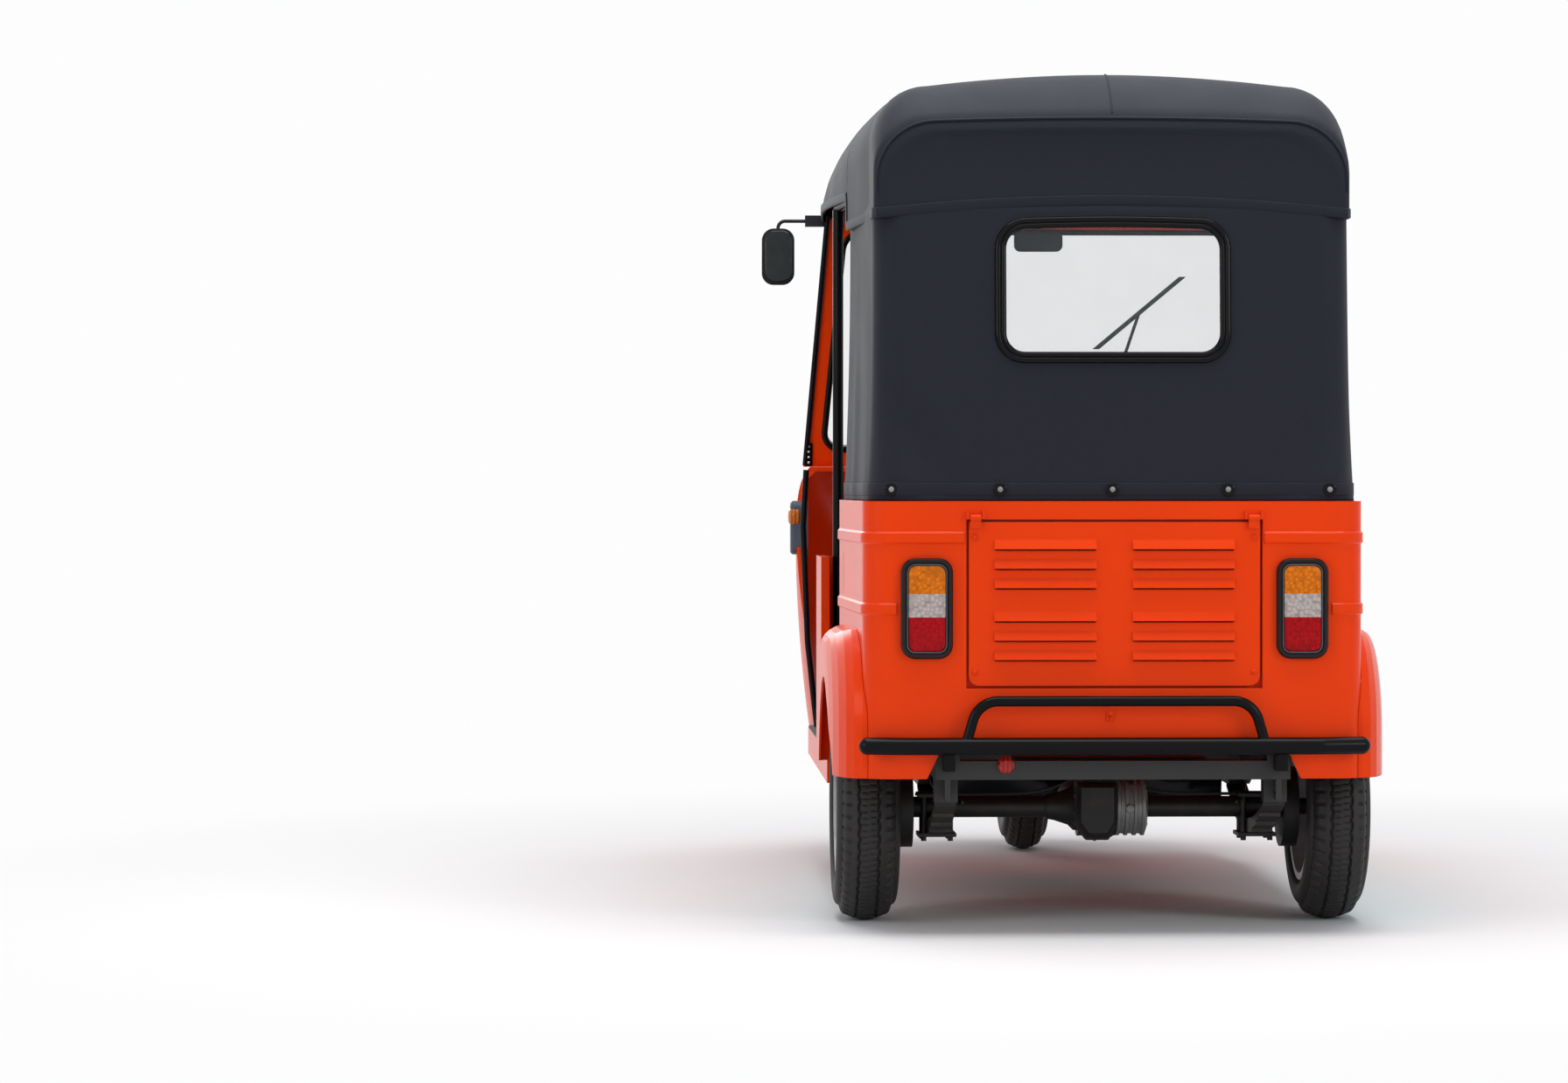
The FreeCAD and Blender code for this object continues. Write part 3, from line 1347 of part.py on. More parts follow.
def build_cowl():
    body = new_body("Cowl")
    loft(body, "Additive", cowl_sections(body, "0", "cowl_rear"))
    loft(body, "Subtractive", cowl_sections(body, "cowl_wall", "cowl_rear - cut_overrun"))
    cut_between(body, "XZ", "floor_front", "front_axle + cowl_nose_reach",
                ("-wheel_opening_half_width", "cowl_bottom_height - cut_overrun"),
                ("wheel_opening_half_width", "cowl_bottom_height - cut_overrun"),
                ("wheel_opening_half_width", "wheel_opening_height - wheel_opening_corner"),
                ("wheel_opening_half_width - wheel_opening_corner", "wheel_opening_height"),
                ("-(wheel_opening_half_width - wheel_opening_corner)", "wheel_opening_height"),
                ("-wheel_opening_half_width", "wheel_opening_height - wheel_opening_corner"))
    cut_between(body, "YZ", "-floor_half_width - 2 * cut_overrun", "floor_half_width + 2 * cut_overrun",
                ("cowl_rear - cut_overrun", "door_cut_low_height"),
                ("screen_base - door_lead", "cowl_top_height - cowl_wall"),
                ("screen_base - door_lead", "cowl_top_height + cut_overrun"),
                ("cowl_rear - cut_overrun", "cowl_top_height + cut_overrun"))
    lamps = new_sketch(body, "XZ", "rear_axle + headlamp_reach - 2 * headlamp_depth")
    for side in (-1, 1):
        draw_circle(lamps, (f"{side} * headlamp_spacing / 2", "headlamp_height"),
                    "headlamp_radius + seat_gap")
    pocket(body, lamps, "3 * headlamp_depth")
    return keep(body, "front_cowl")


def tilted(body, y, z, angle):
    """Stand a body made in its own upright plane at a place, leaning forward or back by an angle."""
    body.Placement = Placement(Vector(), Rotation(Vector(1, 0, 0), number(angle)))
    bind(body, "Placement.Rotation.Angle", angle)
    bind(body, "Placement.Base.y", y)
    bind(body, "Placement.Base.z", z)
    doc.recompute()


def build_windscreen():
    frame = new_body("ScreenFrame")
    pad_between(frame, "XZ", "0", "screen_frame_thickness",
                ("-screen_base_half_width", "0"), ("screen_base_half_width", "0"),
                ("screen_top_half_width", "screen_length"), ("-screen_top_half_width", "screen_length"))
    inset = "screen_frame_width"
    glass_points = [
        (f"-(screen_base_half_width - {inset})", inset), (f"screen_base_half_width - {inset}", inset),
        (f"screen_top_half_width - {inset}", f"screen_length - {inset}"),
        (f"-(screen_top_half_width - {inset})", f"screen_length - {inset}")]
    cut_between(frame, "XZ", "-cut_overrun", "screen_frame_thickness + cut_overrun", *glass_points)
    sideways = along(Vector(0, 1, 0))
    foot = number("screen_frame_width / 2")
    round_edges(frame, "screen_corner_radius", lambda mid, edge: sideways(mid, edge) and mid.z > foot)
    tilted(frame, "screen_base", "screen_base_height", "screen_rake_angle")
    keep(frame, "windscreen_frame")
    glass = new_body("ScreenGlass")
    tight = "(screen_frame_width + seat_gap)"
    face = "screen_frame_thickness / 2"
    pad_between(glass, "XZ", face, f"{face} + screen_glass_thickness",
                (f"-(screen_base_half_width - {tight})", tight), (f"screen_base_half_width - {tight}", tight),
                (f"screen_top_half_width - {tight}", f"screen_length - {tight}"),
                (f"-(screen_top_half_width - {tight})", f"screen_length - {tight}"))
    round_edges(glass, "screen_corner_radius", sideways)
    tilted(glass, "screen_base", "screen_base_height", "screen_rake_angle")
    keep(glass, "windscreen_glass")
    return frame


def build_dashboard():
    """Shallow instrument panel hung behind the cowl's top edge, clear of the steering stem."""
    front = "screen_base - seat_gap"
    shelf = box("DashPanel", ("-dash_half_width", "dash_half_width"), (f"{front} - dash_depth", front),
                ("cowl_top_height - dash_height", "cowl_top_height - cowl_wall - seat_gap"))
    return keep(shelf, "dashboard")


def build_front_lamps(cowl):
    def headlamp(name):
        body = new_body(name)
        reach = "rear_axle + headlamp_reach"
        sketch = draw_circle(new_sketch(body, "XZ", reach), ("headlamp_spacing / 2", "headlamp_height"),
                             "headlamp_radius")
        pad(body, sketch, "headlamp_depth")
        round_edges(body, "headlamp_radius / 6", at_depth(reach))
        return body

    keep(both_sides("HeadLamps", headlamp), "headlamps")
    sides = []
    for side in (-1, 1):
        ends = (f"{side} * indicator_half_spread", f"{side} * (indicator_half_spread - indicator_depth)")
        block = new_body("Indicator")
        pad_between(block, "YZ", *(ends if side < 0 else ends[::-1]), *rounded(
            ("rear_axle + indicator_reach - indicator_length / 2", "indicator_height - indicator_tall / 2"),
            ("rear_axle + indicator_reach + indicator_length / 2", "indicator_height + indicator_tall / 2"),
            "indicator_corner_radius"))
        face = number(ends[0])
        round_edges(block, "indicator_edge_radius",
                    lambda mid, edge: abs(mid.x - face) < number("touch_tolerance"))
        sides.append(cut("IndicatorSeat", block, cowl))
    return keep(fuse("IndicatorNode", sides), "side_indicators")


def build_mirrors(frame):
    """Outer mirrors on bent arms clamped to the pillars, and the small one over the windscreen."""
    line = "rear_axle + mirror_reach"
    units = []
    for side in (-1, 1):
        arm = tube_path("MirrorArm", "mirror_arm_radius", [
            (f"{side} * screen_base_half_width", line, "mirror_arm_height"),
            (f"{side} * mirror_centre", line, "mirror_arm_height"),
            (f"{side} * mirror_centre", line, "mirror_height")], "mirror_arm_bend")
        head = slab("MirrorHead", f"{line} - mirror_depth / 2", f"{line} + mirror_depth / 2",
                    (f"{side} * mirror_centre - mirror_width / 2", "mirror_height - mirror_head_height / 2"),
                    (f"{side} * mirror_centre + mirror_width / 2", "mirror_height + mirror_head_height / 2"),
                    "mirror_corner_radius")
        ends = (f"{side} * screen_base_half_width", f"{side} * (screen_top_half_width - mirror_arm_radius)")
        clamp = box("MirrorClamp", ends if side < 0 else ends[::-1],
                    (f"{line} - mirror_clamp_width / 2", f"{line} + mirror_clamp_width / 2"),
                    ("mirror_arm_height - mirror_clamp_height / 2",
                     "mirror_arm_height + mirror_clamp_height / 2"))
        units.append(fuse("MirrorUnit", [arm, head, cut("MirrorClampSeat", clamp, frame)]))
    rear = "rear_axle + inner_mirror_reach"
    glass = slab("InnerMirror", rear, f"{rear} + inner_mirror_depth",
                 ("-inner_mirror_width / 2", "inner_mirror_height - inner_mirror_tall / 2"),
                 ("inner_mirror_width / 2", "inner_mirror_height + inner_mirror_tall / 2"),
                 "inner_mirror_corner")
    post = box("InnerStalk", ("-inner_mirror_stalk / 2", "inner_mirror_stalk / 2"),
               (rear, f"{rear} + inner_mirror_depth"), ("inner_mirror_height", "mirror_arm_height"))
    foot = box("InnerFoot", ("-inner_mirror_stalk", "inner_mirror_stalk"), (rear, f"{line}"),
               ("mirror_arm_height - inner_mirror_stalk", "mirror_arm_height + inner_mirror_stalk / 2"))
    units.append(fuse("InnerMirrorUnit", [glass, post, cut("InnerFootSeat", foot, frame)]))
    return keep(fuse("MirrorNode", units), "mirrors")


def bar_between(start, end, half):
    """Four corners of a flat bar that runs steeply upward between two points."""
    return [(f"{start[0]} - {half}", start[1]), (f"{start[0]} + {half}", start[1]),
            (f"{end[0]} + {half}", end[1]), (f"{end[0]} - {half}", end[1])]


def build_wiper():
    body = new_body("Wiper")
    low = "screen_frame_thickness + seat_gap"
    arm_low = ("wiper_pivot_offset", "wiper_pivot_share * screen_length")
    arm_high = ("wiper_joint_offset", "wiper_joint_share * screen_length")
    pad_between(body, "XZ", low, f"{low} + wiper_depth", *bar_between(arm_low, arm_high, "wiper_bar / 2"))
    blade_low = ("wiper_blade_low_offset", "wiper_blade_low_share * screen_length")
    blade_high = ("wiper_blade_high_offset", "wiper_blade_high_share * screen_length")
    pad_between(body, "XZ", low, f"{low} + wiper_depth", *bar_between(blade_low, blade_high, "wiper_bar"))
    tilted(body, "screen_base", "screen_base_height", "screen_rake_angle")
    keep(body, "wiper")
    plates = new_body("LatchPlates")
    for side in (-1, 1):
        outer = "screen_base_half_width - latch_plate_inset"
        near = f"{side} * ({outer})"
        far = f"{side} * ({outer} - latch_plate_width)"
        corners = rectangle((far, "latch_plate_inset"), (near, "latch_plate_height"))
        pad_between(plates, "XZ", "-latch_plate_depth - seat_gap", "-seat_gap", *corners)
    tilted(plates, "screen_base", "screen_base_height", "screen_rake_angle")
    return keep(plates, "latch_plates")


# Cabin

def build_cabin():
    keep(both_sides("SidePanels", lambda name: box(
        name, ("floor_half_width - side_panel_thickness", "floor_half_width"),
        ("side_panel_rear", "side_panel_rear + side_panel_length"),
        ("floor_top_height + seat_gap", "side_panel_height"))), "side_panels")
    half = "floor_half_width - side_panel_thickness - seat_gap"
    keep(box("Partition", (f"-({half})", half),
             ("driver_base_rear - partition_thickness - seat_gap", "driver_base_rear - seat_gap"),
             ("floor_top_height + seat_gap", "side_panel_height")), "partition")
    base = new_body("DriverBase")
    corners = rectangle(("-driver_base_half_width", "driver_base_rear"),
                        ("driver_base_half_width", "driver_base_rear + driver_base_length"))
    pad_between(base, "XY", "floor_top_height + seat_gap", "driver_base_height", *corners)
    cut_between(base, "XY", "floor_top_height", "driver_base_height - driver_base_wall", *rectangle(
        ("-driver_base_half_width + driver_base_wall", "driver_base_rear + driver_base_wall"),
        ("driver_base_half_width - driver_base_wall",
         "driver_base_rear + driver_base_length - driver_base_wall")))
    keep(base, "driver_seat_base")
    cushion = box("DriverCushion", ("-driver_base_half_width", "driver_base_half_width"),
                  ("driver_base_rear + driver_back_thickness", "driver_base_rear + driver_base_length"),
                  ("driver_base_height + seat_gap", "driver_base_height + driver_cushion_thickness"))
    keep(cushion, "driver_seat_cushion")
    back = box("DriverBack", ("-driver_base_half_width", "driver_base_half_width"),
               ("driver_base_rear", "driver_base_rear + driver_back_thickness - seat_gap"),
               ("side_panel_height + seat_gap", "side_panel_height + driver_back_height"))
    keep(back, "driver_seat_back")
    bench = new_body("BenchBase")
    rear = "rear_axle + bench_rear_reach"
    front = "rear_axle + bench_front_reach"
    pad_between(bench, "XY", "deck_height + seat_gap", "bench_base_height",
                *rectangle(("-bench_half_width", rear), ("bench_half_width", front)))
    cut_between(bench, "XY", "deck_height", "bench_base_height - bench_wall",
                *rectangle(("-bench_half_width + bench_wall", f"{rear} + bench_wall"),
                           ("bench_half_width - bench_wall", f"{front} - bench_wall")))
    keep(bench, "passenger_seat_base")
    keep(box("BenchCushion", ("-bench_half_width", "bench_half_width"),
             (f"{rear} + bench_back_thickness", front),
             ("bench_base_height + seat_gap", "bench_base_height + bench_cushion_thickness")),
         "passenger_seat_cushion")
    keep(box("BenchBack", ("-bench_half_width", "bench_half_width"),
             (rear, f"{rear} + bench_back_thickness - seat_gap"),
             ("bench_base_height + seat_gap",
              "bench_base_height + bench_back_height + bench_cushion_thickness")),
         "passenger_seat_back")


# Canopy

CANOPY_SLOPE_STEPS = 3
CANOPY_CORNER_STEPS = 3


def canopy_arch(body, level, half_width, crown, rise, turn, inset, bottom):
    """Arched roof section: upright sides, quarter-round shoulders and a gently crowned top."""
    half = f"({half_width} - ({inset}))"
    edge = f"({crown} - ({rise}) - ({inset}))"
    return draw_loop(
        new_sketch(body, "XZ", level),
        (half, bottom),
        (half, f"{edge} - {turn}"),
        ((f"{half} - {turn} * arc_share", f"{edge} - {turn} * arc_share"), (f"{half} - {turn}", edge)),
        (("0", f"{crown} - ({inset})"), (f"-({half} - {turn})", edge)),
        ((f"-({half} - {turn} * arc_share)", f"{edge} - {turn} * arc_share"),
         (f"-{half}", f"{edge} - {turn}")),
        (f"-{half}", bottom))


def canopy_end_section(body, line, draw, inset, bottom):
    """Section of the sloping rear end at one place, drawn in at the sides: the crown falls as a parabola."""
    share = f"(({line} - canopy_rear) / canopy_slope_length)"
    return canopy_arch(body, line, f"canopy_rear_half_width - {draw}",
                       f"canopy_height - canopy_rear_fall * (1 - {share}) ^ 2",
                       f"canopy_rear_rise + (canopy_crown_rise - canopy_rear_rise) * {share}",
                       "canopy_shoulder_radius", inset, bottom)


def canopy_form(name, inset):
    """Closed roof form: round rear corners, a sloping rear end, then a barrel of three sections."""
    body = new_body(name)
    bottom = "canopy_edge_height" if inset == "0" else "canopy_edge_height - cut_overrun"
    turn = f"(canopy_corner_radius - {inset})"
    corner = []
    for step in range(CANOPY_CORNER_STEPS + 1):
        angle = f"90 * {step} / {CANOPY_CORNER_STEPS}"
        line = f"(canopy_rear + canopy_corner_radius - {turn} * sin({angle}))"
        corner.append(canopy_end_section(body, line, f"{turn} * (1 - cos({angle}))", inset, bottom))
    loft(body, "Additive", corner)
    slope = []
    for step in range(CANOPY_SLOPE_STEPS + 1):
        run = f"(canopy_slope_length - canopy_corner_radius) * {step} / {CANOPY_SLOPE_STEPS}"
        line = f"(canopy_rear + canopy_corner_radius + {run})"
        slope.append(canopy_end_section(body, line, "0", inset, bottom))
    loft(body, "Additive", slope)
    barrel = (
        ("canopy_rear + canopy_slope_length", "canopy_rear_half_width", "canopy_height",
         "canopy_shoulder_radius"),
        ("(canopy_rear + canopy_front) / 2", "canopy_middle_half_width",
         "canopy_height - canopy_middle_fall", "canopy_middle_shoulder_radius"),
        (f"canopy_front - {inset}", "canopy_front_half_width", "canopy_height - canopy_front_fall",
         "canopy_shoulder_radius"),
    )
    loft(body, "Additive", [
        canopy_arch(body, line, half_width, crown, "canopy_crown_rise", shoulder, inset, bottom)
        for line, half_width, crown, shoulder in barrel])
    return body


def build_canopy():
    shell = cut("CanopyShell", canopy_form("CanopyOuter", "0"), canopy_form("CanopyInner", "canopy_wall"))
    half = "canopy_front_half_width - canopy_wall"
    mouth = box("CanopyMouth", (f"-({half})", half),
                ("canopy_front - cut_overrun", "canopy_front + cut_overrun"),
                ("canopy_edge_height - cut_overrun", "canopy_front_opening_height"))
    slope = new_body("CanopySlope")
    wide = "canopy_middle_half_width + cut_overrun"
    pad_between(slope, "YZ", f"-({wide})", wide,
                ("curtain_side", "canopy_edge_height - cut_overrun"),
                ("canopy_front + cut_overrun", "canopy_edge_height - cut_overrun"),
                ("canopy_front + cut_overrun", "canopy_front_edge_height"),
                ("curtain_side", "canopy_side_edge_height"))
    return keep(cut("CanopyNode", cut("CanopyOpen", shell, mouth), slope), "canopy_roof")


def curtain_plan(body, level, rear, half_width, wide, inset, front):
    """Plan outline of the curtain at one height, moved in by an inset."""
    return draw_loop(new_sketch(body, "XY", level), *spreading_plan(
        f"({rear} + {inset})", f"({half_width} - {inset})", f"({wide} - {inset})",
        f"(curtain_corner_radius - {inset})", front))


def build_curtain():
    body = new_body("Curtain")
    top = "canopy_edge_height - seat_gap"
    bottom = "hem_height + seat_gap"
    forms = (("Additive", "0", "0", "curtain_side"),
             ("Subtractive", "curtain_wall", "cut_overrun", "curtain_side + cut_overrun"))
    for kind, inset, spare, front in forms:
        low = curtain_plan(body, f"{bottom} - {spare}", "curtain_hem_line", "curtain_hem_half_width",
                           "curtain_hem_front_half_width", inset, front)
        high = curtain_plan(body, f"{top} + {spare}", "canopy_rear", "canopy_rear_half_width",
                            "curtain_top_front_half_width", inset, front)
        loft(body, kind, [low, high])
    cut_between(body, "XZ", "curtain_hem_line - cut_overrun", "canopy_rear + 2 * cut_overrun", *rounded(
        ("-window_width / 2", "window_bottom_height"),
        ("window_width / 2", "window_bottom_height + window_height"), "window_corner_radius"))
    return keep(body, "rear_curtain")


def build_window():
    y = "canopy_rear - (canopy_edge_height - window_bottom_height) * tan(curtain_tilt)"
    middle = "curtain_wall / 2"
    pane = slab("RearWindow", f"{middle} - window_thickness / 2", f"{middle} + window_thickness / 2",
                ("-window_width / 2 + 2 * seat_gap", "2 * seat_gap"),
                ("window_width / 2 - 2 * seat_gap", "window_height - 2 * seat_gap"), "window_corner_radius")
    tilted(pane, y, "window_bottom_height", "-curtain_tilt")
    keep(pane, "rear_window")
    gasket = slab("Gasket", "-gasket_thickness - seat_gap", "-seat_gap",
                  ("-window_width / 2 - gasket_border", "-gasket_border"),
                  ("window_width / 2 + gasket_border", "window_height + gasket_border"),
                  "window_corner_radius + gasket_border")
    cut_between(gasket, "XZ", "-gasket_thickness - cut_overrun", "cut_overrun",
                *rounded(("-window_width / 2", "0"), ("window_width / 2", "window_height"),
                         "window_corner_radius"))
    tilted(gasket, y, "window_bottom_height", "-curtain_tilt")
    return keep(gasket, "window_gasket")


def build_canopy_frame():
    """Posts on the floor and the deck, bowed side rails and three hoops under the canopy."""
    pieces = []
    rear = "rear_axle + rear_post_reach"
    front = "rear_axle + front_rail_reach"
    stations = ((rear, "rear_post_half_width", "deck_height"),
                ("post_line", "post_half_width", "floor_top_height"))
    for side in (-1, 1):
        for line, half, ground in stations:
            pieces.append(rod("Post", "z", "post_radius", (f"{side} * {half}", line, f"{ground} + seat_gap"),
                              f"roof_rail_height - {ground} - seat_gap"))
        pieces.append(tube_path("RoofRail", "post_radius", [
            (f"{side} * rear_post_half_width", rear, "roof_rail_height"),
            (f"{side} * post_half_width", "post_line", "roof_rail_height"),
            (f"{side} * front_rail_half_width", front, "roof_rail_height")], "4 * bow_bend_radius"))
    bows = ((rear, "rear_post_half_width", "canopy_height - canopy_rear_fall"),
            ("post_line", "post_half_width", "canopy_height - bow_drop"),
            (front, "front_rail_half_width", "canopy_height - canopy_front_fall - front_bow_drop"))
    for line, half, height in bows:
        top = f"({half} - bow_lean)"
        pieces.append(tube_path("RoofBow", "post_radius", [
            (f"-{half}", line, "roof_rail_height"), (f"-{top}", line, height),
            (top, line, height), (half, line, "roof_rail_height")], "bow_bend_radius"))
    return keep(fuse("CanopyFrameNode", pieces), "canopy_frame")


def write_parts():
    """Check every object and every sub-part, then write each sub-part to its file."""
    for thing in doc.Objects:
        if "Invalid" in thing.State or "Error" in thing.State:
            raise RuntimeError(f"{thing.Name} ({thing.Label}) failed: {thing.State}")
    for thing in nodes:
        if thing.Shape.isNull() or not thing.Shape.isValid():
            raise RuntimeError(f"{thing.Label} has no valid shape")
    for thing in nodes:
        thing.Shape.exportStep(f"parts/{thing.Label}.step")


def main():
    build_rear_body()
    keep(both_sides("Fenders", build_fender), "rear_fenders")
    build_lid_with_hinges()
    build_tail_lamps()
    build_bumper()
    build_frame()
    build_floor()
    build_springs()
    build_rear_axle()
    build_driveline()
    for side, word in (("", "right"), ("-", "left")):
        build_wheel(f"rear_tyre_{word}", f"rear_rim_{word}", f"{side}half_track", "rear_tyre_width", "Rear")
    build_wheel("front_tyre", "front_rim", "0", "front_tyre_width", "Front")
    build_fork()
    build_mudguard()
    build_handlebar()
    cowl = build_cowl()
    frame = build_windscreen()
    build_dashboard()
    build_front_lamps(cowl)
    build_mirrors(frame)
    build_wiper()
    build_cabin()
    build_canopy()
    build_canopy_frame()
    build_curtain()
    build_window()
    doc.recompute()
    write_parts()


main()
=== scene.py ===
import json
import math

import bmesh
import bpy
import numpy as np
from bpy.props import FloatProperty, FloatVectorProperty, IntProperty, PointerProperty
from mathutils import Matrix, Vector
from mathutils.bvhtree import BVHTree


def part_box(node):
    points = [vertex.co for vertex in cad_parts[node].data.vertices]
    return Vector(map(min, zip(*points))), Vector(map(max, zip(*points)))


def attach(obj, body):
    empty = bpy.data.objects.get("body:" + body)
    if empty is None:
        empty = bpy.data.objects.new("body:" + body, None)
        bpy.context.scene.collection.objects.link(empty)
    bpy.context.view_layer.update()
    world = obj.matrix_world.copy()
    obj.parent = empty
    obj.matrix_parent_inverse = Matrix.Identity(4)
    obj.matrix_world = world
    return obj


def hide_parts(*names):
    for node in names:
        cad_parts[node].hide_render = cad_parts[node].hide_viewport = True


bl_info = {
    "name": "Soft-top three-wheeled taxi",
    "version": (1, 0, 0),
    "blender": (4, 5, 0),
    "location": "3D View > Sidebar > Taxi",
    "description": "Cloth, tyres, lamps, trim and studio for a soft-top three-wheeled taxi",
    "category": "Object",
}

# Frame
# X to the vehicle's right, Y forward, Z up, all in metres

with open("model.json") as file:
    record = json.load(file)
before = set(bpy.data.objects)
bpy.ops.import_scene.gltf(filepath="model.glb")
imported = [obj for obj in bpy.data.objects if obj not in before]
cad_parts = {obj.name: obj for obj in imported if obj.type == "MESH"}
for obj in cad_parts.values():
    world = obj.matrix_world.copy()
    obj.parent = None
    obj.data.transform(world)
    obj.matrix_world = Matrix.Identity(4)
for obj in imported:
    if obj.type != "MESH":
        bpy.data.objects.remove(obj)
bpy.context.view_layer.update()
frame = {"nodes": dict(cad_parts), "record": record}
REAR_AXLE = sum(corner.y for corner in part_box("rear_tyre_left")) / 2
FRONT_AXLE = sum(corner.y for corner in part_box("front_tyre")) / 2
AXLE_HEIGHT = sum(corner.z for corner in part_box("rear_tyre_left")) / 2
FLOOR_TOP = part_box("floor_pan")[1].z
TAU = 2 * math.pi
BACK, UP, ACROSS = (0.0, -1.0, 0.0), (0.0, 0.0, 1.0), (1.0, 0.0, 0.0)


class TaxiSizes(bpy.types.PropertyGroup):
    """Sizes of the soft and small pieces."""

    cloth_thickness: FloatProperty(
        name="Cloth thickness", description="Thickness of the canopy cloth", default=0.0016, unit="LENGTH")
    hem_width: FloatProperty(
        name="Hem width", description="Width of the turned hems", default=0.028, unit="LENGTH")
    fold_depth: FloatProperty(
        name="Fold depth", description="Depth of the soft folds in the hanging cloth", default=0.0035,
        unit="LENGTH")
    canopy_rear_half_width: FloatProperty(
        name="Rear half width", description="Half the canopy's width at its rear", default=0.508,
        unit="LENGTH")
    canopy_front_half_width: FloatProperty(
        name="Front half width", description="Half the canopy's width at its front", default=0.537,
        unit="LENGTH")
    canopy_shoulder: FloatProperty(
        name="Shoulder", description="Radius between the roof and its sides", default=0.125, unit="LENGTH")
    canopy_middle_shoulder: FloatProperty(
        name="Middle shoulder", description="The same radius halfway along the roof", default=0.175,
        unit="LENGTH")
    canopy_crown_rise: FloatProperty(
        name="Crown rise", description="How far the roof's middle stands above its shoulders", default=0.028,
        unit="LENGTH")
    canopy_slope: FloatProperty(
        name="Slope", description="Length of the roof's sloping rear end", default=0.18, unit="LENGTH")
    canopy_rear_fall: FloatProperty(
        name="Rear fall", description="How far the roof falls down that slope", default=0.109,
        unit="LENGTH")
    canopy_front_fall: FloatProperty(
        name="Front fall", description="How far the roof falls towards the front", default=0.075,
        unit="LENGTH")
    curtain_hem_half_width: FloatProperty(
        name="Hem half width", description="Half the curtain's width at its hem", default=0.522,
        unit="LENGTH")
    curtain_spread: FloatProperty(
        name="Curtain spread", description="How much wider the curtain's front edges stand", default=0.024,
        unit="LENGTH")
    curtain_corner: FloatProperty(
        name="Curtain corner", description="Radius of the curtain round the body's corners", default=0.07,
        unit="LENGTH")
    window_width: FloatProperty(
        name="Window width", description="Clear width of the rear window", default=0.455, unit="LENGTH")
    window_height: FloatProperty(
        name="Window height", description="Clear height of the rear window", default=0.26, unit="LENGTH")
    window_corner: FloatProperty(
        name="Window corner", description="Radius of the clear window's corners", default=0.04,
        unit="LENGTH")
    tread_depth: FloatProperty(
        name="Tread depth", description="Depth of the tyre grooves", default=0.006, unit="LENGTH")
    tread_pitches: IntProperty(
        name="Tread pitches", description="Blocks round one tyre", default=54)


class TaxiColours(bpy.types.PropertyGroup):
    """Colours of the finishes, linear."""

    body: FloatVectorProperty(
        name="Body", description="Gloss body paint", default=(0.84, 0.048, 0.001), subtype="COLOR", size=3)
    cloth: FloatVectorProperty(
        name="Cloth", description="Canopy cloth", default=(0.0105, 0.0108, 0.0165), subtype="COLOR", size=3)
    black: FloatVectorProperty(
        name="Black", description="Gloss black paint", default=(0.0035, 0.0035, 0.0045),
        subtype="COLOR", size=3)
    silver: FloatVectorProperty(
        name="Silver", description="Wheel paint", default=(0.52, 0.53, 0.55), subtype="COLOR", size=3)
    seat: FloatVectorProperty(
        name="Seat", description="Seat cover", default=(0.02, 0.02, 0.024), subtype="COLOR", size=3)
    amber: FloatVectorProperty(
        name="Amber", description="Turn lamp lens", default=(0.62, 0.15, 0.004), subtype="COLOR", size=3)
    clear: FloatVectorProperty(
        name="Clear", description="Reversing lamp lens", default=(0.42, 0.36, 0.34),
        subtype="COLOR", size=3)
    red: FloatVectorProperty(
        name="Red", description="Stop lamp lens", default=(0.36, 0.001, 0.004), subtype="COLOR", size=3)
    dust: FloatVectorProperty(
        name="Dust", description="Road dust", default=(0.17, 0.14, 0.115), subtype="COLOR", size=3)


def sizes():
    """The sizes set in the panel."""
    return bpy.context.scene.taxi_sizes


def colours():
    """The colours set in the panel."""
    return bpy.context.scene.taxi_colours


# Shapes

def surface(name, points, close_rows=False, close_columns=False, uv=None, kept=None):
    """Mesh from a grid of points: each cell is a quad; doubled points merge."""
    rows, columns = points.shape[:2]
    index = np.arange(rows * columns).reshape(rows, columns)
    if close_rows:
        index = np.vstack([index, index[:1]])
    if close_columns:
        index = np.hstack([index, index[:, :1]])
    quads = np.stack([index[:-1, :-1], index[:-1, 1:], index[1:, 1:], index[1:, :-1]], -1)
    if kept is not None:
        quads = quads[kept]
    uv = None if uv is None else uv.reshape(-1, 2)
    return mesh_object(name, points.reshape(-1, 3), quads.reshape(-1, 4), uv)


def mesh_object(name, points, faces, uv=None):
    """Object from points and faces, with an optional map of surface metres; loose and doubled points go."""
    mesh = bpy.data.meshes.new(name)
    mesh.from_pydata(points.tolist(), [], faces.tolist())
    if uv is not None:
        layer = mesh.uv_layers.new(name="Cloth")
        corners = np.zeros(len(mesh.loops), np.int32)
        mesh.loops.foreach_get("vertex_index", corners)
        layer.data.foreach_set("uv", uv[corners].astype(np.float32).ravel())
    work = bmesh.new()
    work.from_mesh(mesh)
    bmesh.ops.remove_doubles(work, verts=work.verts, dist=1e-5)
    loose = [vertex for vertex in work.verts if not vertex.link_faces]
    bmesh.ops.delete(work, geom=loose, context="VERTS")
    bmesh.ops.recalc_face_normals(work, faces=work.faces)
    work.to_mesh(mesh)
    work.free()
    piece = bpy.data.objects.new(name, mesh)
    bpy.context.scene.collection.objects.link(piece)
    return piece


def joined(name, pieces):
    """One object from several."""
    bpy.ops.object.select_all(action="DESELECT")
    for piece in pieces:
        piece.select_set(True)
    bpy.context.view_layer.objects.active = pieces[0]
    if len(pieces) > 1:
        bpy.ops.object.join()
    pieces[0].name = name
    pieces[0].data.name = name
    return pieces[0]


